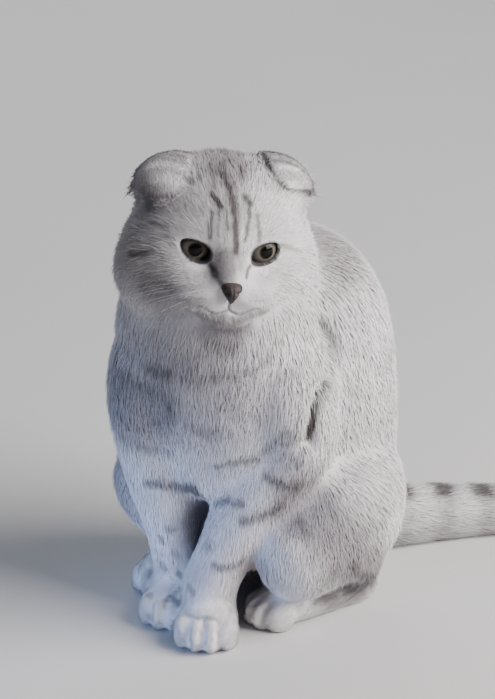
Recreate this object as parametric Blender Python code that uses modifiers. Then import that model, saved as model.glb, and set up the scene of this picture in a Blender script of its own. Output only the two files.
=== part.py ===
"""A life-size Scottish Fold cat, sitting on the floor and looking up a little, as a still model.

Metres, +Z up, floor at Z = 0. The cat faces -Y and its left side is +X. The whole animal is
fused from plain round forms, smoothed, and parted with thin cuts into its named pieces.
"""

import math

import bmesh
import bpy
import numpy as np
from mathutils import Matrix, Vector
from mathutils.bvhtree import BVHTree

# Sizes that fit the animal and its pieces together
GAP = 0.0003
VOXEL = 0.0021
SMOOTH_ROUNDS = 30
FACE_KEEP = 0.80
BODY_TRIANGLES = 6050
PAW_DETAIL = 0.22
REGION_SIZE = 1.0

# Where the head is, and how it is held
HEAD_CENTRE = Vector((0.002, -0.060, 0.274))
HEAD_TURN = math.radians(40)
HEAD_LIFT = math.radians(2)
HEAD_TILT = math.radians(6)
CHEST_TURN = 15

# Head sizes, in the head's own axes: face towards -Y, left ear at +X, eyes at Z = 0
EYE_SPACING = 0.0208
EYE_DEPTH = -0.0325
EYE_RADIUS = 0.0108
EYE_TURN_OUT = math.radians(9)
LID_THICK = 0.0016
NOSE_CENTRE = Vector((0, -0.0605, -0.0205))
NOSE_RADII = (0.0090, 0.0066, 0.0072)
EAR_ROOT = Vector((0.0375, 0.0060, 0.0330))
EAR_THICK = 0.0036
EAR_TRIANGLES = 900
EAR_SPIN = {1: -30, -1: -12}
FLAP_LONGER = {1: 0.0, -1: 0.0075}
# Each row of an ear, from the skull to the tip: forward, up, half width, how far the sides bend in
EAR_PROFILE = (
    (-0.0030, -0.0080, 0.0225, 0.0100),
    (-0.0040, 0.0060, 0.0240, 0.0110),
    (0.0010, 0.0145, 0.0235, 0.0100),
    (0.0100, 0.0165, 0.0205, 0.0080),
    (0.0205, 0.0115, 0.0155, 0.0050),
    (0.0290, 0.0030, 0.0055, 0.0015),
)
MOUTH_HEIGHT = -0.0350
EYE_WIDTH = 0.0188
LID_RISE = 0.0060
LID_DROP = 0.0076
LID_SLANT = 0.20

# How far the finely kept parts of the surface reach
FACE_MIDDLE = Vector((0, -0.044, -0.010))
FACE_REACH = 0.041
PAW_REACH = 0.028

# Paws: place of the wrist or ankle over the floor, and which way the toes point
FOREPAWS = {"left": (0.0045, -0.0765, 22), "right": (-0.0300, -0.0575, 14)}
HINDPAWS = {"left": (0.0410, -0.0270, -25), "right": (-0.0590, -0.0180, 4)}
SIDES = (("left", 1), ("right", -1))

# Hollows where one mass of coat lies against the next: points, half width, depth
CREASES = (
    (
        (
            (0.0614, -0.0380, 0.2560),
            (0.0640, -0.0300, 0.2270),
            (0.0700, -0.0400, 0.2010),
            (0.0745, -0.0500, 0.1784),
            (0.0745, -0.0540, 0.1585),
            (0.0690, -0.0580, 0.1360),
        ),
        0.0065,
        0.0120,
    ),
)

# Colour and roughness: silver coat, dark brick nose leather, hazel eyes
COAT = ((0.62, 0.60, 0.62), 0.9)
LOOKS = {"nose": ((0.22, 0.13, 0.13), 0.5), "eye": ((0.42, 0.40, 0.22), 0.1)}


def clear_scene():
    for obj in list(bpy.data.objects):
        bpy.data.objects.remove(obj, do_unlink=True)


def new_collection(name):
    made = bpy.data.collections.new(name)
    bpy.context.scene.collection.children.link(made)
    return made


def material(name, colour, roughness):
    made = bpy.data.materials.new(name)
    made.use_nodes = True
    shader = made.node_tree.nodes["Principled BSDF"]
    shader.inputs["Base Color"].default_value = (*colour, 1)
    shader.inputs["Roughness"].default_value = roughness
    shader.inputs["Metallic"].default_value = 0
    return made


def object_from(name, mesh, collection):
    """A new object that holds what a bmesh has, made of triangles."""
    bmesh.ops.triangulate(mesh, faces=mesh.faces)
    data = bpy.data.meshes.new(name)
    mesh.to_mesh(data)
    mesh.free()
    obj = bpy.data.objects.new(name, data)
    collection.objects.link(obj)
    return obj


def evaluated_mesh(obj):
    """The object's mesh with its modifiers applied."""
    graph = bpy.context.evaluated_depsgraph_get()
    return bpy.data.meshes.new_from_object(obj.evaluated_get(graph))


def apply_modifiers(obj):
    bpy.context.view_layer.update()
    made = evaluated_mesh(obj)
    obj.modifiers.clear()
    obj.data = made


def keep_largest(obj):
    """Drops every closed surface of the mesh except the one with the most faces."""
    mesh = bmesh.new()
    mesh.from_mesh(obj.data)
    left = set(mesh.faces)
    largest = []
    while left:
        stack = [left.pop()]
        shell = []
        while stack:
            face = stack.pop()
            shell.append(face)
            for edge in face.edges:
                for other in edge.link_faces:
                    if other in left:
                        left.remove(other)
                        stack.append(other)
        if len(shell) > len(largest):
            largest = shell
    kept = set(largest)
    bmesh.ops.delete(mesh, geom=[f for f in mesh.faces if f not in kept], context="FACES")
    bmesh.ops.triangulate(mesh, faces=mesh.faces)
    mesh.to_mesh(obj.data)
    mesh.free()


def boolean(obj, other, operation):
    modifier = obj.modifiers.new(operation.title(), "BOOLEAN")
    modifier.operation = operation
    modifier.object = other
    modifier.solver = "EXACT"
    apply_modifiers(obj)
    keep_largest(obj)


def smooth_rows(rows, steps):
    """Rows of numbers on a smooth curve through the given rows (Catmull-Rom)."""
    values = [Vector(row) for row in rows]
    made = []
    for i in range(len(values) - 1):
        before = values[max(i - 1, 0)]
        here, after = values[i], values[i + 1]
        beyond = values[min(i + 2, len(values) - 1)]
        for step in range(steps):
            t = step / steps
            made.append(
                0.5
                * (
                    2 * here
                    + (after - before) * t
                    + (2 * before - 5 * here + 4 * after - beyond) * t**2
                    + (3 * here - 3 * after + beyond - before) * t**3
                )
            )
    made.append(values[-1])
    return made


def loft(mesh, stations, around=28, steps=4, round_ends=True):
    """A closed round body through stations of (x, y, z, half width, half depth, turn in degrees)."""
    rows = smooth_rows(stations, steps)
    centres = [Vector(row[:3]) for row in rows]
    count = len(rows)
    rings = []
    for i, row in enumerate(rows):
        ahead = (centres[min(i + 1, count - 1)] - centres[max(i - 1, 0)]).normalized()
        turn = math.radians(row[5])
        across = Vector((math.cos(turn), math.sin(turn), 0))
        across = (across - ahead * ahead.dot(across)).normalized()
        rings.append((centres[i], ahead, across, row[3], row[4]))
    if round_ends:
        cap = [math.radians(a) for a in (84, 60, 30)]
        first, last = rings[0], rings[-1]
        start = [end_ring(first, angle, -1) for angle in cap]
        finish = [end_ring(last, angle, 1) for angle in reversed(cap)]
        rings = start + rings + finish
    loops = []
    for centre, ahead, across, half_width, half_depth in rings:
        deep = ahead.cross(across)
        points = []
        for j in range(around):
            angle = 2 * math.pi * j / around
            offset = across * math.cos(angle) * half_width + deep * math.sin(angle) * half_depth
            points.append(mesh.verts.new(centre + offset))
        loops.append(points)
    for lower, upper in zip(loops, loops[1:]):
        for j in range(around):
            k = (j + 1) % around
            mesh.faces.new((lower[j], lower[k], upper[k], upper[j]))
    mesh.faces.new(list(reversed(loops[0])))
    mesh.faces.new(loops[-1])


def end_ring(ring, angle, way):
    """A smaller ring past the end of a loft, so that the end is round."""
    centre, ahead, across, half_width, half_depth = ring
    reach = min(half_width, half_depth) * math.sin(angle) * way
    shrink = math.cos(angle)
    return centre + ahead * reach, ahead, across, half_width * shrink, half_depth * shrink


def ellipsoid(mesh, centre, radii, turn=0, place=None):
    """A round form of three radii, turned about Z by a number of degrees, then placed."""
    matrix = (place or Matrix.Identity(4)) @ Matrix.Translation(Vector(centre))
    matrix = matrix @ Matrix.Rotation(math.radians(turn), 4, "Z") @ Matrix.Diagonal((*radii, 1))
    bmesh.ops.create_uvsphere(mesh, u_segments=28, v_segments=18, radius=1, matrix=matrix)


def head_place():
    """The matrix that takes the head's own axes to where the head is."""
    turn = Matrix.Rotation(HEAD_TURN, 4, "Z")
    lift = Matrix.Rotation(-HEAD_LIFT, 4, "X")
    tilt = Matrix.Rotation(HEAD_TILT, 4, "Y")
    return Matrix.Translation(HEAD_CENTRE) @ turn @ lift @ tilt


# The forms of the body


def torso_forms(mesh):
    """The trunk: the back and flanks down to the rump, and the chest and ruff turned to the left."""
    loft(
        mesh,
        [
            (-0.001, 0.034, 0.044, 0.064, 0.056, 0),
            (-0.003, 0.028, 0.070, 0.080, 0.072, 0),
            (-0.004, 0.024, 0.100, 0.084, 0.075, 0),
            (0.000, 0.020, 0.135, 0.083, 0.074, 0),
            (0.006, 0.014, 0.170, 0.077, 0.073, 4),
            (0.009, 0.003, 0.199, 0.071, 0.070, 8),
            (0.006, -0.013, 0.219, 0.059, 0.057, 12),
            (0.002, -0.030, 0.235, 0.044, 0.041, 16),
        ],
        around=40,
    )
    loft(
        mesh,
        [
            (0.002, -0.050, 0.118, 0.046, 0.034, CHEST_TURN),
            (0.001, -0.052, 0.148, 0.060, 0.046, CHEST_TURN),
            (0.000, -0.054, 0.180, 0.067, 0.052, CHEST_TURN),
            (-0.001, -0.055, 0.208, 0.069, 0.054, CHEST_TURN),
            (-0.001, -0.056, 0.234, 0.064, 0.053, CHEST_TURN + 8),
            (0.000, -0.057, 0.256, 0.062, 0.052, CHEST_TURN + 20),
        ],
        around=40,
    )


def haunch_forms(mesh, side):
    """A folded hind leg: the broad thigh, the shank back to the hock, and the foot on the floor."""
    name = "left" if side > 0 else "right"
    x, y, turn = HINDPAWS[name]
    heel = Vector((x, y, 0)) + Matrix.Rotation(math.radians(turn), 3, "Z") @ Vector((0, 0.052, 0))
    out = 0.062 if side > 0 else 0.067
    knee = (0.051, -0.045, 0.055, 0.037) if side > 0 else (0.069, -0.024, 0.071, 0.042)
    lift = 0.000 if side > 0 else 0.009
    loft(
        mesh,
        [
            (side * 0.036, 0.045, 0.085 + lift, 0.036, 0.048 + lift, 0),
            (side * (out - 0.010), 0.022, 0.078 + lift, 0.040, 0.056 + lift, 0),
            (side * out, -0.008, 0.070 + lift, 0.036, 0.049 + lift, 0),
            (side * knee[0], knee[1], knee[2], 0.029, knee[3], 0),
        ],
    )
    loft(
        mesh,
        [
            (side * 0.064, -0.022, 0.058, 0.024, 0.026, 0),
            (side * 0.066, 0.008, 0.042, 0.022, 0.026, 0),
            (heel.x, heel.y - 0.006, 0.021, 0.017, 0.020, 0),
        ],
    )
    loft(
        mesh,
        [
            (heel.x, heel.y, 0.014, 0.014, 0.015, 0),
            ((heel.x + x) / 2, (heel.y + y) / 2, 0.013, 0.0155, 0.015, 0),
            (x, y, 0.013, 0.0175, 0.0155, 0),
        ],
    )
    paw_forms(mesh, x, y, turn, 0.92)


def foreleg_forms(mesh, side):
    """A straight foreleg, from the shoulder down to the paw."""
    name = "left" if side > 0 else "right"
    x, y, turn = FOREPAWS[name]
    chest = Matrix.Rotation(math.radians(CHEST_TURN), 3, "Z")
    middle = Vector((0.000, -0.052, 0))

    def beside(out, forward):
        point = middle + chest @ Vector((side * out, -forward, 0))
        return point.x, point.y

    elbow = beside(0.046, -0.004)
    below = Vector(elbow).lerp(Vector((x, y)), 0.46)
    low = Vector(elbow).lerp(Vector((x, y)), 0.80)
    loft(
        mesh,
        [
            (*beside(0.040, 0.000), 0.200, 0.030, 0.042, CHEST_TURN),
            (*beside(0.047, 0.002), 0.165, 0.030, 0.040, CHEST_TURN),
            (*elbow, 0.128, 0.029, 0.035, CHEST_TURN),
            (*below, 0.092, 0.0265, 0.028, CHEST_TURN),
            (*low, 0.058, 0.0200, 0.0215, CHEST_TURN),
            (x, y, 0.034, 0.0190, 0.0195, turn),
            (x, y - 0.003, 0.014, 0.0185, 0.0190, turn),
        ],
    )
    paw_forms(mesh, x, y, turn, 1.0)


def paw_forms(mesh, x, y, turn, scale):
    """A round paw with four toes, its wrist over (x, y), cut flat by the floor later on."""
    place = Matrix.Translation((x, y, 0)) @ Matrix.Rotation(math.radians(turn), 4, "Z")
    place = place @ Matrix.Scale(scale, 4)
    ellipsoid(mesh, (0, -0.010, 0.0150), (0.0205, 0.0230, 0.0165), 0, place)
    for out, ahead in ((-0.0158, 0.0240), (-0.0054, 0.0300), (0.0054, 0.0300), (0.0158, 0.0240)):
        ellipsoid(mesh, (out, -ahead, 0.0105), (0.0066, 0.0125, 0.0120), -out * 700, place)


TAIL_STATIONS = (
    (0.002, 0.064, 0.038, 0.029, 0.029, 0),
    (0.016, 0.086, 0.028, 0.0250, 0.0260, 0),
    (0.036, 0.112, 0.0220, 0.0220, 0.0228, 0),
    (0.058, 0.137, 0.0195, 0.0200, 0.0208, 0),
    (0.082, 0.161, 0.0175, 0.0180, 0.0188, 0),
    (0.110, 0.181, 0.0162, 0.0167, 0.0175, 0),
    (0.140, 0.192, 0.0148, 0.0152, 0.0160, 0),
    (0.168, 0.190, 0.0120, 0.0124, 0.0130, 0),
)


def tail_forms(mesh):
    """The tail, thick with coat, lying on the floor behind and out to the left."""
    loft(mesh, TAIL_STATIONS, around=20)


def ellipsoid_field(points, centre, radii):
    """About how far each point is outside an ellipsoid; less than 0 inside it."""
    offset = points - np.array(centre)
    near = np.linalg.norm(offset / np.array(radii), axis=1)
    steep = np.linalg.norm(offset / np.array(radii) ** 2, axis=1)
    return near * (near - 1) / np.maximum(steep, 1e-9)


def blend(one, other, width):
    """Joins two forms with a fillet about as wide as given."""
    share = np.clip(0.5 + 0.5 * (other - one) / width, 0, 1)
    return other * (1 - share) + one * share - width * share * (1 - share)


def both_sides(points, centre, radii):
    """A pair of ellipsoids, one on each side of the head's middle."""
    mirrored = np.column_stack((np.abs(points[:, 0]), points[:, 1:]))
    return ellipsoid_field(mirrored, centre, radii)


def bridge_field(points):
    """The nose bridge: a round bar from the forehead down to the nose, thinner at the nose."""
    start, end = np.array((0, -0.0330, 0.0110)), np.array((0, -0.0545, -0.0150))
    along = end - start
    share = np.clip((points - start) @ along / (along @ along), 0, 1)
    nearest = start + share[:, None] * along
    offset = (points - nearest) * np.array((0.82, 1, 1))
    return np.linalg.norm(offset, axis=1) - (0.0120 - 0.0035 * share)


def head_field(points):
    """How far each point is outside the head, in the head's own axes."""
    skull = ellipsoid_field(points, (0, 0.006, 0.010), (0.0520, 0.0500, 0.0420))
    brow = ellipsoid_field(points, (0, -0.016, 0.014), (0.0410, 0.0300, 0.0290))
    face = ellipsoid_field(points, (0, -0.020, -0.009), (0.0430, 0.0250, 0.0280))
    cheeks = both_sides(points, (0.0300, -0.004, -0.014), (0.0345, 0.0370, 0.0310))
    jowls = both_sides(points, (0.0250, 0.004, -0.034), (0.0370, 0.0360, 0.0260))
    ear_mounds = both_sides(points, (0.0330, 0.006, 0.030), (0.0215, 0.0180, 0.0180))
    pads = both_sides(points, (0.0140, -0.0440, -0.0280), (0.0200, 0.0155, 0.0130))
    under_eyes = both_sides(points, (0.0250, -0.0330, -0.0170), (0.0170, 0.0110, 0.0120))
    chin = ellipsoid_field(points, (0, -0.0430, -0.0410), (0.0190, 0.0145, 0.0105))
    lids = both_sides(points, (EYE_SPACING, EYE_DEPTH, 0), (EYE_RADIUS + LID_THICK,) * 3)
    head = blend(skull, brow, 0.014)
    head = blend(head, face, 0.014)
    head = blend(head, cheeks, 0.016)
    head = blend(head, jowls, 0.020)
    head = blend(head, ear_mounds, 0.012)
    head = blend(head, under_eyes, 0.010)
    head = blend(head, bridge_field(points), 0.008)
    muzzle = blend(pads, chin, 0.006)
    head = blend(head, muzzle, 0.009)
    return blend(head, lids, 0.004)


def head_forms(mesh):
    """The head as one surface: along each ray from its middle, the first place inside the field."""
    place = head_place()
    start = len(mesh.verts)
    bmesh.ops.create_icosphere(mesh, subdivisions=6, radius=1)
    mesh.verts.ensure_lookup_table()
    made = mesh.verts[start:]
    rays = np.array([vertex.co[:] for vertex in made])
    rays = rays / np.linalg.norm(rays, axis=1)[:, None]
    middle = np.array((0, -0.018, -0.010))
    steps = np.linspace(0.085, 0.020, 80)
    reach = np.full(len(rays), steps[-1])
    found = np.zeros(len(rays), dtype=bool)
    before = head_field(middle + rays * steps[0])
    for outer, inner in zip(steps, steps[1:]):
        here = head_field(middle + rays * inner)
        crossing = (here <= 0) & ~found
        share = before / np.maximum(before - here, 1e-9)
        reach[crossing] = (outer + (inner - outer) * share)[crossing]
        found |= crossing
        before = here
    for vertex, ray, distance in zip(made, rays, reach):
        vertex.co = place @ Vector(middle + ray * distance)


def fused_body(helpers):
    """Every form of the body as one smooth closed surface, with its flats on the floor."""
    mesh = bmesh.new()
    torso_forms(mesh)
    tail_forms(mesh)
    head_forms(mesh)
    for _, side in SIDES:
        haunch_forms(mesh, side)
        foreleg_forms(mesh, side)
    body = object_from("fused_body", mesh, helpers)
    remesh = body.modifiers.new("Fuse", "REMESH")
    remesh.mode = "VOXEL"
    remesh.voxel_size = VOXEL
    apply_modifiers(body)
    smooth_with_care(body)
    press_creases(body)
    return body


def press_creases(obj):
    """Presses long soft hollows into the surface along lines of points."""
    spots = np.array([vertex.co[:] for vertex in obj.data.vertices])
    normals = np.array([vertex.normal[:] for vertex in obj.data.vertices])
    for line, width, depth in CREASES:
        best = np.full(len(spots), 1.0)
        for start, end in zip(np.array(line), np.array(line[1:])):
            along = end - start
            share = np.clip((spots - start) @ along / (along @ along), 0, 1)
            away = np.linalg.norm(spots - start - share[:, None] * along, axis=1)
            best = np.minimum(best, away)
        spots -= normals * (depth * np.exp(-((best / width) ** 2)))[:, None]
    obj.data.vertices.foreach_set("co", spots.ravel())
    obj.data.update()


def near(point, centre, radius):
    """1 at the centre, falling smoothly to 0 past the radius."""
    return math.exp(-(((point - centre).length / radius) ** 4))


def weigh(obj, name, share):
    """A vertex group whose weights come from how near each vertex is to the face and to a paw."""
    to_head = head_place().inverted()
    toes = []
    for x, y, turn in (*FOREPAWS.values(), *HINDPAWS.values()):
        ahead = Matrix.Rotation(math.radians(turn), 3, "Z") @ Vector((0, -0.020, 0.008))
        toes.append(ahead + Vector((x, y, 0)))
    weights = obj.vertex_groups.new(name=name)
    for vertex in obj.data.vertices:
        face = near(to_head @ vertex.co, FACE_MIDDLE, FACE_REACH)
        paw = max(near(vertex.co, toe, PAW_REACH) for toe in toes)
        weights.add([vertex.index], share(face, paw), "REPLACE")


def smooth_with_care(obj):
    """Smooths the fused surface: fully on the trunk, less on the face and hardly on the paws."""
    weigh(obj, "broad", lambda face, paw: (1 - paw) * (1 - FACE_KEEP * face))
    light = obj.modifiers.new("Light", "SMOOTH")
    light.factor = 0.5
    light.iterations = 6
    full = obj.modifiers.new("Full", "SMOOTH")
    full.factor = 0.5
    full.iterations = SMOOTH_ROUNDS
    full.vertex_group = "broad"
    apply_modifiers(obj)


def cut_flat(obj, point, normal):
    """Cuts away all that is past a plane and closes the cut; the normal points to what goes."""
    mesh = bmesh.new()
    mesh.from_mesh(obj.data)
    geometry = [*mesh.verts, *mesh.edges, *mesh.faces]
    cut = bmesh.ops.bisect_plane(
        mesh, geom=geometry, plane_co=point, plane_no=normal, clear_outer=True, dist=1e-7
    )
    rim = [item for item in cut["geom_cut"] if isinstance(item, bmesh.types.BMEdge)]
    bmesh.ops.edgenet_fill(mesh, edges=[edge for edge in rim if edge.is_boundary])
    bmesh.ops.triangulate(mesh, faces=mesh.faces)
    bmesh.ops.recalc_face_normals(mesh, faces=mesh.faces)
    mesh.to_mesh(obj.data)
    mesh.free()


def thin_out(obj, count):
    """Reduces the surface to about so many triangles, keeping more of them in face and paws."""
    weigh(obj, "thin", lambda face, paw: 1 - max(face, PAW_DETAIL * paw))
    modifier = obj.modifiers.new("Thin", "DECIMATE")
    modifier.ratio = count / sum(len(polygon.vertices) - 2 for polygon in obj.data.polygons)
    modifier.vertex_group = "thin"
    modifier.vertex_group_factor = 0.01
    apply_modifiers(obj)


def region(name, planes, grow, collection):
    """A closed convex block bounded by planes of (point, outward normal), grown by some width."""
    mesh = bmesh.new()
    bmesh.ops.create_cube(mesh, size=REGION_SIZE)
    obj = object_from(name, mesh, collection)
    for point, normal in planes:
        outward = Vector(normal).normalized()
        cut_flat(obj, Vector(point) + outward * grow, outward)
    return obj


def copy_of(obj, name, collection):
    made = bpy.data.objects.new(name, obj.data.copy())
    collection.objects.link(made)
    return made


def split_off(source, name, planes, parts, helpers):
    """Takes what lies inside the planes off the source as a new piece, with a thin gap between."""
    piece = copy_of(source, name, parts)
    inner = region(name + "_region", planes, 0, helpers)
    boolean(piece, inner, "INTERSECT")
    outer = region(name + "_cut", planes, GAP, helpers)
    boolean(source, outer, "DIFFERENCE")
    return piece


# The face


def eye_place(side):
    """The matrix from an eye's own axes, looking along -Y, to where the eye is."""
    centre = Matrix.Translation((side * EYE_SPACING, EYE_DEPTH, 0))
    return head_place() @ centre @ Matrix.Rotation(side * EYE_TURN_OUT, 4, "Z")


def ball(name, radius, place, collection):
    mesh = bmesh.new()
    bmesh.ops.create_uvsphere(mesh, u_segments=22, v_segments=13, radius=radius, matrix=place)
    return object_from(name, mesh, collection)


def eye_opening(side, helpers):
    """A prism with the almond outline between the lids, slanting down towards the nose."""
    place = eye_place(side)
    mesh = bmesh.new()
    points = 28
    rings = []
    for depth, spread in ((-0.030, 1.35), (0.0005, 0.96)):
        ring = []
        for i in range(points):
            angle = 2 * math.pi * i / points
            across = math.cos(angle)
            height = LID_RISE if math.sin(angle) > 0 else LID_DROP
            rise = height * math.copysign(abs(math.sin(angle)) ** 0.85, math.sin(angle))
            x = side * EYE_WIDTH / 2 * across * spread
            z = rise * spread + LID_SLANT * EYE_WIDTH / 2 * across
            ring.append(mesh.verts.new(place @ Vector((x, depth, z))))
        rings.append(ring)
    join_rings(mesh, rings)
    bmesh.ops.recalc_face_normals(mesh, faces=mesh.faces)
    return object_from("eye_opening_" + str(side), mesh, helpers)


def join_rings(mesh, rings):
    """Faces between rings of points, and a face over each end."""
    around = len(rings[0])
    for lower, upper in zip(rings, rings[1:]):
        for j in range(around):
            k = (j + 1) % around
            mesh.faces.new((lower[j], lower[k], upper[k], upper[j]))
    mesh.faces.new(list(reversed(rings[0])))
    mesh.faces.new(rings[-1])


def nose_form(name, grow, collection):
    """The nose leather: broad above and narrow below, standing out of the muzzle."""
    place = head_place()
    mesh = bmesh.new()
    bmesh.ops.create_uvsphere(mesh, u_segments=24, v_segments=14, radius=1)
    for vertex in mesh.verts:
        x, y, z = vertex.co
        taper = 0.66 + 0.34 * z
        flat_top = z if z < 0 else z * 0.80
        spot = Vector((x * taper * NOSE_RADII[0], y * NOSE_RADII[1], flat_top * NOSE_RADII[2]))
        length = max(spot.length, 1e-9)
        vertex.co = place @ (NOSE_CENTRE + spot * (1 + grow / length))
    return object_from(name, mesh, collection)


def build_nose(head, parts, helpers):
    nose = nose_form("nose", 0, parts)
    for _, side in SIDES:
        nostril = NOSE_CENTRE + Vector((side * 0.0040, -0.0052, -0.0004))
        place = head_place() @ Matrix.Translation(nostril)
        place = place @ Matrix.Rotation(side * math.radians(-32), 4, "Y")
        place = place @ Matrix.Diagonal((0.0019, 0.0034, 0.0013, 1))
        boolean(nose, ball("nostril", 1, place, helpers), "DIFFERENCE")
    boolean(head, nose_form("nose_seat", GAP, helpers), "DIFFERENCE")
    return nose


def mouth_line(head, helpers):
    """Cuts the groove from the nose down and out between lips and chin, on the head's surface."""
    place = head_place()
    inverse = place.inverted()
    surface = BVHTree.FromPolygons(
        [inverse @ vertex.co for vertex in head.data.vertices],
        [list(polygon.vertices) for polygon in head.data.polygons],
    )

    def on_surface(x, z):
        hit = surface.ray_cast(Vector((x, -0.15, z)), Vector((0, 1, 0)))[0]
        return hit + Vector((0, 0.0001, 0))

    top = NOSE_CENTRE.z - 0.0060
    philtrum = [on_surface(0, top + (MOUTH_HEIGHT - top) * i / 3) for i in range(4)]
    groove(head, philtrum, 0.0007, helpers)
    for _, side in SIDES:
        lips = []
        for i in range(8):
            share = i / 7
            drop = 0.0036 * math.sin(math.pi * min(share * 1.25, 1)) - 0.0012 * share
            lips.append(on_surface(side * (0.0002 + 0.0200 * share), MOUTH_HEIGHT - drop))
        groove(head, lips, 0.0008, helpers)


def groove(head, points, radius, helpers):
    place = head_place()
    front = math.degrees(HEAD_TURN) + 90
    mesh = bmesh.new()
    stations = []
    for i, point in enumerate(points):
        share = i / (len(points) - 1)
        thin = radius * (1 - 0.55 * share**3)
        stations.append((*(place @ point), thin, thin, front))
    loft(mesh, stations, around=8, steps=2)
    boolean(head, object_from("groove", mesh, helpers), "DIFFERENCE")


# The ears


def ear_rows(side):
    """The rows of one ear; the flap of the right ear hangs further down the forehead."""
    rows = []
    for i, (ahead, rise, width, bow) in enumerate(EAR_PROFILE):
        longer = FLAP_LONGER[side] * max(0, i - 2) / 3
        rows.append((ahead + 0.55 * longer, rise - 0.84 * longer, width + 0.45 * longer, bow))
    return rows


def ear_form(side, helpers):
    """A folded ear: up from the skull, over in a round fold, and down again in front as a flap."""
    spin = math.radians(EAR_SPIN[side])
    along = Vector((0.80, 0.30, -0.52)).normalized()
    up = Vector((0.55, 0.05, 0.83))
    up = (up - along * up.dot(along)).normalized()
    turned = Matrix.Rotation(spin, 3, up)
    along = turned @ along
    forward = along.cross(up)
    rows = smooth_rows(ear_rows(side), 4)
    mesh = bmesh.new()
    count = 18
    grid = []
    for i, row in enumerate(rows):
        ahead, rise, width, bow = row
        after = rows[min(i + 1, len(rows) - 1)]
        before = rows[max(i - 1, 0)]
        step = Vector((after[0] - before[0], after[1] - before[1])).normalized()
        inward = forward * step.y - up * step.x
        line = []
        for j in range(count + 1):
            out = 2 * j / count - 1
            spot = EAR_ROOT + forward * ahead + up * rise + along * width * out
            spot = spot + inward * bow * out**2
            line.append(mesh.verts.new((side * spot.x, spot.y, spot.z)))
        grid.append(line)
    for lower, upper in zip(grid, grid[1:]):
        for j in range(count):
            mesh.faces.new((lower[j], lower[j + 1], upper[j + 1], upper[j]))
    mesh.transform(head_place())
    obj = object_from("ear_sheet", mesh, helpers)
    solid = obj.modifiers.new("Solid", "SOLIDIFY")
    solid.thickness = EAR_THICK
    solid.offset = 0
    fuse = obj.modifiers.new("Fuse", "REMESH")
    fuse.mode = "VOXEL"
    fuse.voxel_size = 0.0008
    soft = obj.modifiers.new("Soft", "SMOOTH")
    soft.factor = 0.5
    soft.iterations = 8
    apply_modifiers(obj)
    thin = obj.modifiers.new("Thin", "DECIMATE")
    thin.ratio = EAR_TRIANGLES / (2 * len(obj.data.polygons))
    apply_modifiers(obj)
    return obj


def build_ear(name, side, head, parts, helpers):
    """The ear, without what would lie inside the head, a thin gap away from it."""
    ear = copy_of(ear_form(side, helpers), name, parts)
    grown = copy_of(head, "head_grown", helpers)
    swell = grown.modifiers.new("Swell", "DISPLACE")
    swell.strength = GAP
    swell.mid_level = 0
    apply_modifiers(grown)
    boolean(ear, grown, "DIFFERENCE")
    return ear


def leg_planes(side):
    """Planes that bound each foreleg's pieces: (point, normal away from the piece)."""
    paws_apart = ((-0.0065, -0.0860, 0), (-side * 0.912, side * 0.410, 0))
    legs_apart = ((-0.0040, -0.0600, 0.078), (-side * 0.97, side * 0.08, side * 0.09))
    if side > 0:
        behind_paw = ((0.0220, -0.0655, 0), (0.56, 0.83, 0))
        behind = ((0.040, -0.030, 0.085), (0.50, 0.72, -0.48))
        outside = ((0.058, -0.040, 0.100), (0.95, 0.30, -0.10))
    else:
        behind_paw = ((-0.0420, -0.0480, 0), (-0.50, 0.86, 0))
        behind = ((-0.044, -0.030, 0.085), (-0.40, 0.78, -0.48))
        outside = ((-0.062, -0.050, 0.100), (-0.95, 0.30, -0.10))
    top = ((0, 0, 0.120), (0, 0.20, 0.98))
    wrist = ((0, 0, 0.036), (0, 0, 1))
    return {
        "forepaw": (paws_apart, wrist, behind_paw),
        "foreleg": (legs_apart, behind, top, outside),
    }


def hind_planes(side):
    name = "left" if side > 0 else "right"
    x, y, turn = HINDPAWS[name]
    back = Matrix.Rotation(math.radians(turn), 3, "Z") @ Vector((0, 1, 0))
    ankle = Vector((x, y, 0)) - back * 0.002
    inner = side * 0.010 if side > 0 else side * 0.028
    return {
        "hindpaw": (
            (ankle, back),
            ((0, 0, 0.0320), (0, 0.12, 0.99)),
            ((inner, 0, 0), (-side, 0, 0)),
        ),
        "hindleg": (
            ((side * 0.046, 0, 0.0625), (-side * 0.969, 0, 0.248)),
            ((side * 0.070, 0, 0.118), (side * 0.35, 0.25, 0.90)),
            ((side * 0.060, 0.062, 0), (side * 0.20, 0.98, 0)),
        ),
    }


def split_body(body, parts, helpers):
    """Parts the whole body into its named pieces; what is left over is the torso."""
    made = {}
    place = head_place()
    turn = place.to_3x3()
    jaw = (place @ Vector((0, -0.030, -0.055)), turn @ Vector((0, 0.587, -0.81)))
    chest = ((0, -0.105, 0.180), (0.10, 0.40, -0.91))
    made["head"] = split_off(body, "head", [jaw], parts, helpers)
    made["neck"] = split_off(body, "neck", [chest], parts, helpers)
    for kind in ("forepaw", "foreleg"):
        for name, side in SIDES:
            planes = leg_planes(side)[kind]
            made[f"{kind}_{name}"] = split_off(body, f"{kind}_{name}", planes, parts, helpers)
    for kind in ("hindpaw", "hindleg"):
        for name, side in SIDES:
            planes = hind_planes(side)[kind]
            made[f"{kind}_{name}"] = split_off(body, f"{kind}_{name}", planes, parts, helpers)
    for name, at in (("tail_tip", 5), ("tail_middle", 3), ("tail_base", 2)):
        here, after = (Vector(TAIL_STATIONS[i][:3]) for i in (at, at + 1))
        along = (after - here).normalized()
        point = here.lerp(after, 0.0) if at > 2 else here - along * 0.010
        planes = [(point, -along), ((0, 0, 0.062), (0, 0, 1))]
        made[name] = split_off(body, name, planes, parts, helpers)
    made["torso"] = body
    return made


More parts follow.
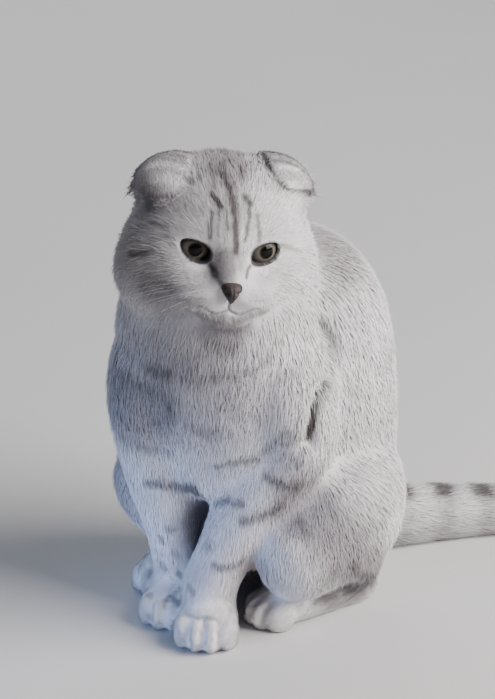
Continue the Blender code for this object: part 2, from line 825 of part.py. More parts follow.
def move_to_middle(pieces):
    """Moves every piece so that the middle of the whole box is over the origin."""
    spots = [vertex.co for obj in pieces for vertex in obj.data.vertices]
    middle_x = (min(spot.x for spot in spots) + max(spot.x for spot in spots)) / 2
    middle_y = (min(spot.y for spot in spots) + max(spot.y for spot in spots)) / 2
    shift = Matrix.Translation((-middle_x, -middle_y, 0))
    for obj in pieces:
        obj.data.transform(shift)


def main():
    clear_scene()
    helpers = new_collection("cutters")
    parts = new_collection("scottish_fold_cat")
    body = fused_body(helpers)
    cut_flat(body, (0, 0, 0), (0, 0, -1))
    thin_out(body, BODY_TRIANGLES)
    cut_flat(body, (0, 0, 0), (0, 0, -1))
    keep_largest(body)
    helpers.objects.unlink(body)
    parts.objects.link(body)
    body.name = "torso"
    made = split_body(body, parts, helpers)
    head = made["head"]
    for name, side in SIDES:
        made["ear_" + name] = build_ear("ear_" + name, side, head, parts, helpers)
    for name, side in SIDES:
        place = eye_place(side)
        boolean(head, eye_opening(side, helpers), "DIFFERENCE")
        boolean(head, ball("eye_seat", EYE_RADIUS + GAP, place, helpers), "DIFFERENCE")
        made["eye_" + name] = ball("eye_" + name, EYE_RADIUS, place, parts)
    mouth_line(head, helpers)
    made["nose"] = build_nose(head, parts, helpers)
    move_to_middle(made.values())
    for name, obj in made.items():
        colour, roughness = LOOKS.get(name.split("_")[0], COAT)
        obj.data.materials.clear()
        obj.data.materials.append(material(name, colour, roughness))
    for obj in helpers.objects:
        obj.hide_render = True
        obj.display_type = "WIRE"
    helpers.hide_render = True


main()
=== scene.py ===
"""How the Scottish Fold cat looks: skin, coat, eyes, nose, whiskers, floor, light and camera.

Lengths are in metres. The cat's forms are laid out in the same axes as the solids are drawn in,
with the cat facing -Y and its left side at +X, and everything is moved onto the frame at the end.
"""

import math

import bmesh
import bpy
import numpy as np
from mathutils import Matrix, Vector
from mathutils.kdtree import KDTree

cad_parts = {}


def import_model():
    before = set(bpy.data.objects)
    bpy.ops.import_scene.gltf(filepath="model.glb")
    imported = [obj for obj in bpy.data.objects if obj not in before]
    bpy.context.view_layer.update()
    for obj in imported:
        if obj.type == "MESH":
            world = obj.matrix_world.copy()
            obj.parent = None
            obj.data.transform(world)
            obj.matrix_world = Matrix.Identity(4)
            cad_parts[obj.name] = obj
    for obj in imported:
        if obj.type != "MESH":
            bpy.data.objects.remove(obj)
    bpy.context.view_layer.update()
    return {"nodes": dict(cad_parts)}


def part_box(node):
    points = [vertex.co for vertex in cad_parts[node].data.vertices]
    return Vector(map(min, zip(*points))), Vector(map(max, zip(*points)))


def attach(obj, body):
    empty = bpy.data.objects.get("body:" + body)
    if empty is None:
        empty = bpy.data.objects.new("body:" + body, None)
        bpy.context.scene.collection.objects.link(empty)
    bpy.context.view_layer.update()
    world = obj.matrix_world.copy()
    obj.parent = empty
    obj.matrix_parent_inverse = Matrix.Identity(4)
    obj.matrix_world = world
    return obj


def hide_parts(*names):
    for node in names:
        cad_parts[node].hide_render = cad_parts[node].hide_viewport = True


# Where the head is, and how it is held
HEAD_CENTRE = Vector((0.002, -0.060, 0.274))
HEAD_TURN = math.radians(40)
HEAD_LIFT = math.radians(2)
HEAD_TILT = math.radians(6)
CHEST_TURN = 15
CHEST_MIDDLE = Vector((0.000, -0.052, 0))

# Head sizes, in the head's own axes: face towards -Y, left ear at +X, eyes at Z = 0
EYE_SPACING = 0.0208
EYE_DEPTH = -0.0325
EYE_RADIUS = 0.0108
EYE_TURN_OUT = math.radians(9)
LID_THICK = 0.0016
NOSE_CENTRE = Vector((0, -0.0602, -0.0218))
NOSE_RADII = (0.0098, 0.0066, 0.0080)
EAR_ROOT = Vector((0.0375, 0.0060, 0.0330))
EAR_THICK = 0.0030
EAR_TRIM = 0.0002
EAR_STEPS = 6
EAR_COLUMNS = 24
EAR_SPIN = {1: -30, -1: -12}
FLAP_LONGER = {1: 0.0, -1: 0.0075}
# Each row of an ear, from the skull to the tip: forward, up, half width, how far the sides bend in
EAR_PROFILE = (
    (-0.0030, -0.0080, 0.0225, 0.0100),
    (-0.0040, 0.0060, 0.0240, 0.0110),
    (0.0010, 0.0145, 0.0235, 0.0100),
    (0.0100, 0.0165, 0.0205, 0.0080),
    (0.0205, 0.0115, 0.0155, 0.0050),
    (0.0290, 0.0030, 0.0055, 0.0015),
)
MOUTH_HEIGHT = -0.0350
EYE_WIDTH = 0.0188
LID_RISE = 0.0054
LID_DROP = 0.0072
LID_SLANT = 0.215
LID_EDGE = 0.00045
MARGIN_PROUD = 0.00030
FACE_MIDDLE = Vector((0, -0.044, -0.010))
BRIDGE = ((0, -0.0330, 0.0110), (0, -0.0545, -0.0150))
# The round forms of the head, singly or in pairs: middle, radii, and how widely it is blended in
SKULL = ((0, 0.006, 0.010), (0.0520, 0.0500, 0.0420))
PADS = ((0.0140, -0.0440, -0.0280), (0.0200, 0.0155, 0.0130))
CHIN = ((0, -0.0430, -0.0410), (0.0190, 0.0145, 0.0105))
HEAD_FORMS = {
    "brow": ((0, -0.016, 0.014), (0.0410, 0.0300, 0.0290), 0.014),
    "face": ((0, -0.020, -0.009), (0.0430, 0.0250, 0.0280), 0.014),
    "cheeks": ((0.0300, -0.004, -0.014), (0.0345, 0.0370, 0.0310), 0.016),
    "jowls": ((0.0250, 0.004, -0.034), (0.0370, 0.0360, 0.0260), 0.020),
    "ear_mounds": ((0.0330, 0.006, 0.030), (0.0215, 0.0180, 0.0180), 0.012),
    "under_eyes": ((0.0250, -0.0330, -0.0170), (0.0170, 0.0110, 0.0120), 0.010),
}

# The rays that find the head's surface: where they start, the furthest and nearest tried, how many
RAY_START = (0, -0.018, -0.010)
RAY_REACH = (0.085, 0.020)
RAY_STEPS = 80

# Paws: place of the wrist or ankle over the floor, and which way the toes point
FOREPAWS = {"left": (0.0045, -0.0765, 22), "right": (-0.0300, -0.0575, 14)}
HINDPAWS = {"left": (0.0410, -0.0270, -25), "right": (-0.0590, -0.0180, 4)}
HINDPAW_SCALE = 0.92
FOOT_LENGTH = 0.052
TOES = ((-0.0158, 0.0240), (-0.0054, 0.0300), (0.0054, 0.0300), (0.0158, 0.0240))
TOE_APART = 0.0108
SIDES = (("left", 1), ("right", -1))

# Round bodies as stations of x, y, z, half width, half depth and turn in degrees
LOFT_STEPS = 4
END_ANGLES = (84, 60, 30)
TRUNK_STATIONS = (
    (-0.001, 0.034, 0.044, 0.064, 0.056, 0),
    (-0.003, 0.028, 0.070, 0.080, 0.072, 0),
    (-0.004, 0.024, 0.100, 0.084, 0.075, 0),
    (0.000, 0.020, 0.135, 0.083, 0.074, 0),
    (0.006, 0.014, 0.170, 0.077, 0.073, 4),
    (0.009, 0.003, 0.199, 0.071, 0.070, 8),
    (0.006, -0.013, 0.219, 0.059, 0.057, 12),
    (0.002, -0.030, 0.235, 0.044, 0.041, 16),
)
CHEST_STATIONS = (
    (0.002, -0.050, 0.118, 0.046, 0.034, CHEST_TURN),
    (0.001, -0.052, 0.148, 0.060, 0.046, CHEST_TURN),
    (0.000, -0.054, 0.180, 0.067, 0.052, CHEST_TURN),
    (-0.001, -0.055, 0.208, 0.069, 0.054, CHEST_TURN),
    (-0.001, -0.056, 0.234, 0.064, 0.053, CHEST_TURN + 8),
    (0.000, -0.057, 0.256, 0.062, 0.052, CHEST_TURN + 20),
)
TAIL_STATIONS = (
    (0.002, 0.064, 0.038, 0.029, 0.029, 0),
    (0.016, 0.086, 0.028, 0.0250, 0.0260, 0),
    (0.036, 0.112, 0.0220, 0.0220, 0.0228, 0),
    (0.058, 0.137, 0.0195, 0.0200, 0.0208, 0),
    (0.082, 0.161, 0.0175, 0.0180, 0.0188, 0),
    (0.110, 0.181, 0.0162, 0.0167, 0.0175, 0),
    (0.140, 0.192, 0.0148, 0.0152, 0.0160, 0),
    (0.168, 0.190, 0.0120, 0.0124, 0.0130, 0),
)
TAIL_LINE = np.array([row[:3] for row in TAIL_STATIONS])
# Each haunch: how far out and how much higher it is, then its knee's x, y, z and half depth
HAUNCHES = {
    "left": (0.062, 0.000, (0.051, -0.045, 0.055, 0.037)),
    "right": (0.067, 0.009, (0.069, -0.024, 0.071, 0.042)),
}

# Hollows where one mass of coat lies against the next, in millimetres: half width, depth, points
CREASES = {
    "behind_the_shoulder": (5.5, 6, (62, -37, 216), (64, -29, 208), (67, -29, 198), (69.5, -36, 190)),
    "behind_the_elbow": (
        4.5, 9, (71, -41, 186), (72.5, -49, 179.5), (73, -57, 171.5),
        (73, -58, 164), (72, -60, 155), (70, -61, 145),
    ),
    "left_toes": (1.4, 1.2, (2, -105, 22.6), (13.3, -105, 23.1), (23, -99.6, 22.5)),
}
# The hollow between two toes: half width and depth
TOE_GAP = (0.0014, 0.0024)

# The skin's fineness, and the number of tufts on it
SKIN_VOXEL = 0.0015
LIGHT_ROUNDS = 12
FULL_ROUNDS = 58
FACE_KEEP = 0.80
# Where the face is cut finer, in the head's axes: middle and reach
FINE_PLACES = ((Vector((0, -0.045, -0.006)), 0.047), (Vector((0, -0.052, -0.016)), 0.030))
UNDER_TUFTS = 225000
GUARD_TUFTS = 52000
PIECE_TRIANGLES = 190000
PATCH = 0.003
COAT_SEED = 11
WHISKER_SEED = 4

# How deep the skin lies under the tips of the coat, by region
REGIONS = ("body", "head", "face", "snout", "ear", "leg", "paw", "tail")
DEPTHS = dict(zip(REGIONS, (0.0020, 0.0019, 0.0012, 0.0008, 0.0006, 0.0014, 0.0007, 0.0030)))
# Short dense tufts by region: length, half width, how many for their area, degrees off the skin
UNDERCOAT = {
    "body": (0.0088, 0.00048, 1.00, 10),
    "head": (0.0066, 0.00040, 1.35, 14),
    "face": (0.0044, 0.00031, 2.40, 12),
    "snout": (0.0027, 0.00023, 4.20, 12),
    "ear": (0.0036, 0.00029, 3.60, 12),
    "leg": (0.0060, 0.00040, 1.40, 11),
    "paw": (0.0034, 0.00029, 2.60, 12),
    "tail": (0.0090, 0.00046, 1.10, 18),
}
# Longer tufts between them that bend over, in the same way, with the angle of the tip as well
GUARD = {
    "body": (0.0120, 0.00040, 1.00, 16, 5),
    "head": (0.0090, 0.00036, 0.90, 20, 7),
    "face": (0.0058, 0.00026, 0.50, 15, 5),
    "snout": (0.0034, 0.00020, 0.20, 14, 5),
    "ear": (0.0044, 0.00024, 0.80, 14, 5),
    "leg": (0.0084, 0.00036, 1.00, 15, 5),
    "paw": (0.0044, 0.00026, 0.50, 14, 5),
    "tail": (0.0120, 0.00044, 1.40, 24, 10),
}
# How far a tuft's shading follows the skin below it instead of its own faces
SOFTNESS = dict(zip(REGIONS, (0.90, 0.86, 0.84, 0.84, 0.10, 0.80, 0.80, 0.70)))
# How tufts vary: least and most share of their length and width, and degrees of lean and of bend
TUFT_LENGTHS = (0.70, 1.20)
TUFT_WIDTHS = (0.75, 1.25)
LEAN_JITTER = 4.5
BEND_JITTER = 4
# How far a tuft swings to the side by itself, and with those around it in swirls of a size
SWING = 0.15
SWIRL = 0.13
SWIRL_SIZE = 0.016
# How deep a tuft starts in the skin, where along it a guard tuft bends, and how low it may reach
ROOT_DEPTH = 0.0004
BEND_PLACE = 0.45
LOWEST_TUFT = 0.0003
# Past this share of ear, a tuft goes into the ears' piece
EAR_PIECE = 0.3

# Colours of the coat
SILVER = np.array((0.72, 0.695, 0.71))
GREY = np.array((0.30, 0.280, 0.292))
DARK = np.array((0.050, 0.042, 0.044))
SKIN_TONE = 0.92
EAR_TONE = 0.28
JITTER = 0.035
# Painted shade in the gaps between the toes
TOE_GAP_PAINTED_SHADE = 0.42
LIP_DARK = 0.54
RING_SPACING = 0.031
# How fine the waver of the lines is, how much more they waver on the body, and of what share of a line
WAVER_SIZE = 0.007
BODY_WAVER = 1.5
WAVER = 0.30
# How near an eye its lids' shading and bare edges reach
NEAR_EYE = 0.020
# How far past its half width a line still colours the coat
HEAD_EDGE = 1.50
BODY_EDGE = 1.75

# Dark lines and spots on the head, in the head's axes: half width, strength, then points in millimetres.
# Most are the tabby's markings; those on the ears' folds and under the muzzle and chin are painted shade.
HEAD_MARKINGS_AND_PAINTED_SHADE = {
    "forehead_upper": (2.8, 0.88, (-6, -24, 46), (-3, -36, 39), (-1, -43, 30), (1, -48, 20)),
    "forehead_lower": (2.8, 0.88, (1, -48, 20), (2, -51, 11), (2, -53, 3)),
    "forehead_middle_left": (1.6, 0.60, (0, -29, 43), (1, -39, 35), (2, -46, 24), (3, -49, 14)),
    "forehead_middle_right": (1.3, 0.55, (-6, -41, 32), (-5, -46, 24), (-4, -49, 15)),
    "brow_right": (1.7, 0.72, (-14, -44, 25), (-15, -46, 17), (-15, -48, 9)),
    "brow_right_inner": (1.2, 0.50, (-10, -44, 28), (-10, -47, 19), (-10, -49, 11)),
    "brow_left": (1.7, 0.72, (10, -44, 27), (9, -47, 18), (8, -50, 9)),
    "brow_left_outer": (1.5, 0.60, (15, -44, 24), (17, -46, 15), (18, -47, 7)),
    "spot_right": (2.5, 0.95, (-14, -37, 35), (-11, -40, 32), (-9, -43, 29)),
    "spot_left": (2.4, 0.92, (7, -39, 35), (10, -42, 31)),
    "crown_line_left": (1.8, 0.55, (7, -16, 49), (6, -29, 44)),
    "crown_line_right": (1.5, 0.45, (-13, -16, 48), (-12, -28, 43), (-13, -35, 38)),
    "crown_arch": (3.0, 0.45, (-9, -22, 46), (-5, -14, 49), (1, -7, 51)),
    "nape_middle": (3.4, 0.50, (0, 4, 52), (0, 26, 47), (0, 46, 30)),
    "nape_right": (2.4, 0.42, (-9, 8, 51), (-10, 28, 45), (-10, 46, 28)),
    "nape_left": (2.4, 0.42, (9, 2, 51), (10, 28, 45), (10, 46, 28)),
    # Painted shade on the ears, in all but the spot below: along the backs of the folds, under the flaps and
    # where the ears meet the head
    "ear_band_right_painted_shade": (2.4, 0.22, (-50, -2, 46), (-39, -5, 50), (-27, -8, 51)),
    "ear_low_right_painted_shade": (1.8, 0.42, (-56, -15, 29), (-52, -21, 27), (-45, -27, 28), (-36, -27, 30)),
    "ear_top_left_painted_shade": (1.7, 0.62, (29, -9, 52), (38, -10, 51), (45, -9, 49), (50, -9, 46)),
    "ear_fold_left_painted_shade": (3.2, 0.34, (20, -24, 43), (25, -25, 40), (32, -24, 36)),
    "ear_edge_right_painted_shade": (1.6, 0.45, (-23, -4, 49), (-21, -16, 45), (-21, -26, 41)),
    "ear_spot_right": (2.2, 0.60, (-28, -21, 40), (-25, -26, 39)),
    "ear_back_right_painted_shade": (2.4, 0.48, (-51, -21, 28), (-51, -12, 19)),
    "ear_edge_left_painted_shade": (1.4, 0.18, (25, -23, 41), (32, -23, 37), (42, -15, 34)),
    "cheek_bar_right": (2.4, 0.72, (-61, -20, -11), (-56, -28, -10), (-50, -33, -6)),
    "cheek_upper_right": (2.6, 0.34, (-55, -19, 7), (-48, -26, 10), (-42, -33, 11)),
    "cheek_middle_right": (1.6, 0.34, (-50, -31, 1), (-43, -35, 5), (-37, -39, 5)),
    "cheek_lower_right": (2.2, 0.34, (-56, -26, -31), (-46, -32, -35), (-37, -37, -36)),
    "tear_right": (2.5, 1.00, (-15, -43, -6), (-13, -49, -8), (-12, -52, -10)),
    "tear_right_low": (2.5, 0.80, (-12, -52, -10), (-10, -56, -13), (-7, -60, -17)),
    "tear_left": (1.6, 0.80, (16, -40, -6), (12, -52, -8), (9, -57, -13)),
    "pad_right": (0.9, 0.30, (-25, -56, -28), (-16, -59, -28)),
    "pad_left": (0.9, 0.26, (25, -56, -28), (16, -59, -28)),
    # Painted shade under the right whisker pad
    "painted_shade_under_pad_right": (4.4, 0.52, (-24, -43, -42), (-14, -53, -42), (-5, -56, -42)),
    "philtrum": (1.8, 0.50, (0, -62, -27), (0, -61, -31), (0, -59, -35)),
    # Painted shade under the left whisker pad, and next painted shadow under the chin
    "painted_shade_under_pad_left": (4.0, 0.48, (7, -56, -42), (15, -53, -41), (23, -50, -39)),
    "under_chin": (3.2, 0.42, (-7, -47, -52), (5, -48, -53), (17, -48, -50)),
    "cheek_left": (1.5, 0.42, (49, -33, -2), (41, -38, 2), (34, -41, 4)),
    "cheek_low_left": (1.6, 0.30, (41, -42, -15), (34, -47, -23), (29, -53, -27)),
}
# Lighter lines on the head, in the same way: paler fur, and painted highlights on the ears' ridges and flaps
HEAD_PALE_LINES_AND_HIGHLIGHTS = {
    "painted_highlight_ear_ridge_right": (2.4, 0.60, (-51, -7, 43), (-45, -10, 46), (-37, -14, 47), (-30, -18, 45)),
    "painted_light_ear_flap_right": (4.0, 0.40, (-49, -16, 37), (-42, -21, 39), (-34, -24, 39)),
    "painted_highlight_ear_ridge_left": (2.2, 0.60, (31, -15, 48), (38, -14, 48), (46, -11, 47)),
    "ear_tip_left": (4.0, 0.50, (40, -23, 39), (46, -11, 33), (48, -10, 30)),
    "ear_tuft_left": (3.4, 0.50, (14, 1, 51), (20, 5, 52), (24, 1, 52)),
    "under_eye_right": (1.8, 0.35, (-26, -47, -10), (-21, -48, -11), (-16, -49, -10)),
    "under_eye_left": (1.8, 0.35, (16, -49, -9), (23, -48, -11), (29, -46, -8)),
    "pad_right": (2.4, 0.20, (-31, -51, -30), (-23, -57, -26), (-12, -59, -24)),
    "pad_left": (3.0, 0.40, (9, -59, -27), (15, -59, -30), (21, -57, -31)),
    "forehead_right": (1.2, 0.30, (-10, -47, 19), (-8, -49, 11), (-7, -51, 5)),
    "forehead_left": (1.2, 0.30, (6, -47, 20), (6, -50, 12), (5, -52, 6)),
    "bridge_left": (1.8, 0.30, (2, -56, -3), (3, -60, -9), (4, -61, -14)),
}
# The same on the body, in the cat's axes
BODY_LIGHTS = {
    "collar_right": (4.0, 0.40, (-48, -102, 188), (-37, -105, 185), (-26, -106, 182)),
    "collar_left": (4.5, 0.55, (64, -66, 210), (62, -73, 205), (56, -80, 200), (52, -84, 196)),
}
# Dark lines and spots on the body, in the cat's axes. Most are the tabby's markings; those along the
# creases and folds and on the foot under the haunch are painted shade.
BODY_MARKINGS_AND_PAINTED_SHADE = {
    "necklace_right": (2.8, 0.62, (-24, -107, 189), (-15, -108, 188), (-7, -108, 189)),
    "necklace_middle": (2.2, 0.30, (-5, -108, 189), (8, -107, 188), (21, -103, 189)),
    "necklace_left": (2.4, 0.52, (22, -103, 190), (38, -95, 193), (50, -86, 199), (53, -83, 205)),
    "second_necklace": (2.4, 0.30, (-47, -103, 183), (-35, -105, 177), (-23, -105, 176)),
    "chest_spot": (2.2, 0.36, (-12, -105, 167), (-9, -104, 163), (-12, -103, 158)),
    "chest_spot_low": (2.2, 0.30, (-23, -99, 150), (-18, -99, 147)),
    "chest_line": (1.6, 0.30, (25, -98, 168), (35, -93, 169)),
    "chest_line_left": (1.7, 0.34, (34, -92, 161), (40, -87, 161), (48, -82, 163)),
    "chest_low": (3.2, 0.30, (4, -100, 151), (12, -98, 149), (21, -95, 150)),
    "chest_low_right": (2.6, 0.42, (-38, -95, 128), (-29, -91, 126), (-19, -88, 124)),
    "shoulder_top": (2.0, 0.74, (54, -76, 147), (60, -76, 152), (66, -70, 148)),
    "shoulder_loop": (1.6, 0.60, (57, -74, 142), (63, -72, 144), (67, -69, 146)),
    "shoulder_front": (2.0, 0.60, (52, -76, 143), (47, -74, 138), (43, -74, 133)),
    "shoulder_back": (1.8, 0.50, (57, -70, 133), (61, -66, 130), (63, -62, 124)),
    "shoulder_low": (2.6, 0.78, (44, -73, 116), (50, -71, 113), (55, -66, 110), (61, -58, 109)),
    "arm_bar": (2.2, 0.72, (14, -85, 122), (21, -83, 123), (29, -80, 127), (39, -74, 128)),
    "arm_bar_low": (2.7, 0.66, (32, -82, 86), (40, -77, 89), (46, -72, 91), (52, -67, 96)),
    "arm_bar_back": (2.0, 0.46, (55, -65, 101), (57, -62, 104), (61, -57, 105)),
    "wrist_bar": (2.0, 0.66, (15, -90, 55), (20, -88, 53), (25, -84, 53), (31, -78, 56)),
    "wrist_spot": (2.4, 0.46, (6, -86, 66), (10, -88, 64)),
    # Painted shade in the fold where the forelegs leave the chest
    "painted_shade_arm_fold_right": (2.6, 0.78, (-38, -88, 101), (-28, -86, 100), (-20, -80, 98), (-12, -75, 95)),
    "painted_shade_arm_fold_middle": (4.2, 0.92, (-9, -78, 98), (-6, -72, 93)),
    "painted_shade_arm_fold_left": (2.2, 0.72, (6, -76, 91), (18, -80, 97), (30, -81, 98)),
    "leg_spot_1": (2.2, 0.50, (-27, -79, 67), (-24, -78, 66)),
    "leg_spot_2": (1.8, 0.56, (-33, -79, 60), (-31, -79, 57)),
    "leg_spot_3": (2.4, 0.44, (-25, -76, 51), (-23, -75, 48)),
    "leg_spot_4": (2.0, 0.50, (-35, -76, 40), (-31, -76, 37)),
    "leg_spot_5": (1.8, 0.60, (-22, -75, 36), (-19, -75, 33)),
    "leg_spot_6": (2.0, 0.46, (-37, -87, 22), (-35, -88, 20)),
    "leg_spot_7": (2.0, 0.50, (-3, -93, 37), (2, -95, 35)),
    "leg_spot_8": (3.0, 0.60, (-19, -86, 23), (-12, -89, 23)),
    "paw_spot": (2.0, 0.46, (-31, -96, 10), (-27, -99, 9)),
    # Painted shade along the creases of the toes, behind the elbow and behind the shoulder
    "painted_shade_toe_crease": (1.0, 0.50, (2, -105, 23), (13, -105, 23), (23, -100, 23)),
    "painted_shade_elbow_crease": (3.4, 0.92, (69, -47, 179), (69, -54, 171), (69, -56, 163)),
    "painted_shade_elbow_crease_low": (3.4, 0.92, (69, -56, 163), (68, -58, 154), (66, -59, 146)),
    "painted_shade_shoulder_crease": (2.8, 0.50, (61, -34, 215), (63, -27, 207), (65, -27, 198)),
    "painted_shade_shoulder_crease_low": (2.8, 0.50, (65, -27, 198), (66, -35, 188), (68, -44, 181)),
    "flank_bar_1": (1.8, 0.26, (72, -18, 210), (75, -11, 207), (78, -2, 205)),
    "flank_bar_2": (1.8, 0.24, (76, -16, 193), (79, -7, 189), (81, 3, 187)),
    "flank_bar_3": (2.6, 0.22, (75, -17, 168), (78, -6, 158), (80, 2, 153)),
    "haunch_spot_1": (2.6, 0.40, (61, -61, 85), (66, -62, 81), (69, -62, 77)),
    "haunch_spot_2": (2.6, 0.32, (78, -47, 42), (82, -44, 49)),
    # Painted shadow on the side of the foot under the haunch
    "painted_shadow_foot_under_haunch": (4.0, 0.60, (59, -28, 16), (64, -16, 15), (72, -2, 17), (78, 9, 17)),
    "heel_bar": (3.6, 0.60, (86, -32, 48), (83, -18, 36), (80, 8, 22)),
    "spine": (5.5, 0.46, (0, 60, 60), (4, 92, 100), (6, 92, 140), (8, 84, 180), (8, 60, 214), (4, 30, 246)),
    "back_bar_low_left": (4.5, 0.24, (50, 70, 120), (78, 40, 132), (86, 16, 124)),
    "back_bar_high_left": (4.5, 0.24, (44, 72, 165), (72, 42, 176), (80, 16, 168)),
    "back_bar_low_right": (4.5, 0.30, (-50, 70, 120), (-78, 40, 132), (-86, 6, 120)),
    "back_bar_high_right": (4.5, 0.30, (-44, 72, 165), (-72, 42, 176), (-82, 8, 160)),
    "haunch_bar_right": (4.5, 0.34, (-60, -10, 90), (-74, 0, 84), (-84, 14, 86)),
    "haunch_low_right": (4.0, 0.30, (-66, -36, 60), (-82, -12, 56), (-88, 10, 58)),
}
# Broad soft greys on the head and on the body: middle and reach in millimetres, and how much greyer.
# Some are the coat's own greys, on the crown, nape and back; most are painted shade, on the face's
# shaded side, under the chin and muzzle, on the chest under the head, between the legs and about the
# haunches and feet. Below 0 the coat is paler, and on the flank that is painted light.
HEAD_GREYS_AND_PAINTED_SHADE = (
    ((0, 2, 50), 26, 0.80),
    ((-3, -24, 44), 16, 0.60),
    ((-2, -43, 28), 15, 0.30),
    ((-50, -14, 26), 15, 0.45),
    ((-52, -24, -14), 28, 0.38),
    ((-40, -36, -34), 20, 0.45),
    ((-18, -54, -28), 11, 0.50),
    ((-4, -56, -7), 13, 0.90),
    ((5, -60, -13), 5, -0.40),
    ((0, -47, -54), 16, 1.00),
    ((0, -52, -42), 8, 0.30),
    ((0, 44, 20), 34, 0.30),
)
BODY_GREYS_AND_PAINTED_SHADE = (
    ((2, -100, 172), 38, 0.38),
    ((-42, -96, 160), 36, 0.82),
    ((0, -104, 206), 24, 0.34),
    ((62, -58, 96), 24, 0.95),
    ((80, -36, 62), 32, 0.75),
    ((66, -12, 18), 16, 0.90),
    ((-75, -20, 90), 50, 0.90),
    ((44, 6, 250), 34, 0.65),
    ((80, -4, 30), 26, 0.90),
    ((-6, -56, 72), 24, 0.75),
    ((34, -60, 48), 20, 0.75),
    ((0, 84, 150), 60, 0.34),
    ((-64, 20, 24), 30, 0.50),
    ((84, -2, 190), 40, -0.25),
)

# Where each eye looks, and the sizes of its rings as sines from the gaze line
GAZE = {1: Vector((0.10, -1.0, -0.02)), -1: Vector((0.01, -1.0, -0.06))}
PUPIL_SINE = 0.37
IRIS_SINE = 0.86

# The coat's unevenness: how fine it is, and the least and most tone and roughness
COAT_CLOUDS = 55
COAT_TONES = (0.86, 1.12)
COAT_ROUGHNESS = (0.62, 0.86)
# Bare skin and whiskers, each between two tones
NOSE_TONES = ((0.012, 0.009, 0.010), (0.052, 0.033, 0.032))
LID_TONES = ((0.010, 0.008, 0.008), (0.030, 0.022, 0.022))
WHISKER_TONES = ((0.72, 0.71, 0.70), (0.86, 0.85, 0.84))

# The floor, the sky, and the lamps: place, what it points at, watts, size, colour, degrees of spread
FLOOR_TONES = ((0.56, 0.555, 0.55), (0.62, 0.615, 0.61))
FLOOR_HALF = 6
SKY = (0.80, 0.85, 1.0, 1)
SKY_STRENGTH = 0.20
LAMPS = {
    "key": ((1.76, 0.25, 1.25), (0, 0, 0.16), 133, 1.9, (1.0, 0.95, 0.925), 180),
    "window": ((-0.30, -0.68, 0.07), (-0.05, -0.06, 0.035), 0.24, 0.2, (0.37, 0.56, 1.0), 28),
    "fill": ((-1.15, 1.15, 0.95), (0, 0, 0.16), 11, 1.6, (0.93, 0.96, 1.0), 180),
}

# The camera, in the cat's own axes
CAMERA_TURN = math.radians(30)
CAMERA_RISE = math.radians(20.5)
CAMERA_REACH = 2.4
CAMERA_AIM = Vector((0.0, -0.02, 0.180))
CAMERA_LENS = 187.98
CAMERA_SENSOR = 36


# Forms


def smooth_rows(rows, steps):
    """Rows of numbers on a smooth curve that passes through the given rows."""
    values = [Vector(row) for row in rows]
    made = []
    for i in range(len(values) - 1):
        before, here = values[max(i - 1, 0)], values[i]
        after, beyond = values[i + 1], values[min(i + 2, len(values) - 1)]
        slope = after - before
        bend = 2 * before - 5 * here + 4 * after - beyond
        twist = 3 * here - 3 * after + beyond - before
        for step in range(steps):
            t = step / steps
            made.append(0.5 * (2 * here + slope * t + bend * t**2 + twist * t**3))
    made.append(values[-1])
    return made


def add_ring(mesh, centre, across, deep, half_width, half_depth, around):
    """A ring of new points about a centre."""
    ring = []
    for j in range(around):
        angle = 2 * math.pi * j / around
        offset = across * math.cos(angle) * half_width + deep * math.sin(angle) * half_depth
        ring.append(mesh.verts.new(centre + offset))
    return ring


def stitch(mesh, rings, closed=False):
    """Joins each ring to the next, and the last to the first where closed, or fills both ends."""
    links = list(zip(rings, rings[1:]))
    if closed:
        links.append((rings[-1], rings[0]))
    for lower, upper in links:
        for j in range(len(lower)):
            k = (j + 1) % len(lower)
            mesh.faces.new((lower[j], lower[k], upper[k], upper[j]))
    if not closed:
        mesh.faces.new(list(reversed(rings[0])))
        mesh.faces.new(rings[-1])


def loft(mesh, stations, around=28):
    """A closed round body through stations of (x, y, z, half width, half depth, turn in degrees)."""
    rows = smooth_rows(stations, LOFT_STEPS)
    centres = [Vector(row[:3]) for row in rows]
    last = len(rows) - 1
    parts = []
    for i, row in enumerate(rows):
        ahead = (centres[min(i + 1, last)] - centres[max(i - 1, 0)]).normalized()
        turn = math.radians(row[5])
        across = Vector((math.cos(turn), math.sin(turn), 0))
        across = (across - ahead * ahead.dot(across)).normalized()
        parts.append((centres[i], ahead, across, row[3], row[4]))
    cap = [math.radians(angle) for angle in END_ANGLES]
    start = [end_ring(parts[0], angle, -1) for angle in cap]
    finish = [end_ring(parts[-1], angle, 1) for angle in reversed(cap)]
    rings = []
    for centre, ahead, across, half_width, half_depth in [*start, *parts, *finish]:
        rings.append(add_ring(mesh, centre, across, ahead.cross(across), half_width, half_depth, around))
    stitch(mesh, rings)


def end_ring(ring, angle, way):
    """A smaller ring past the end of a loft, so that the end is round."""
    centre, ahead, across, half_width, half_depth = ring
    reach = min(half_width, half_depth) * math.sin(angle) * way
    shrink = math.cos(angle)
    return centre + ahead * reach, ahead, across, half_width * shrink, half_depth * shrink


def ellipsoid(mesh, centre, radii, turn=0, place=None):
    """A round form of three radii, turned about Z by a number of degrees, then placed."""
    matrix = (place or Matrix.Identity(4)) @ Matrix.Translation(Vector(centre))
    matrix = matrix @ Matrix.Rotation(math.radians(turn), 4, "Z") @ Matrix.Diagonal((*radii, 1))
    bmesh.ops.create_uvsphere(mesh, u_segments=28, v_segments=18, radius=1, matrix=matrix)


def head_place():
    """The matrix that takes the head's own axes to where the head is."""
    turn = Matrix.Rotation(HEAD_TURN, 4, "Z")
    lift = Matrix.Rotation(-HEAD_LIFT, 4, "X")
    tilt = Matrix.Rotation(HEAD_TILT, 4, "Y")
    return Matrix.Translation(HEAD_CENTRE) @ turn @ lift @ tilt


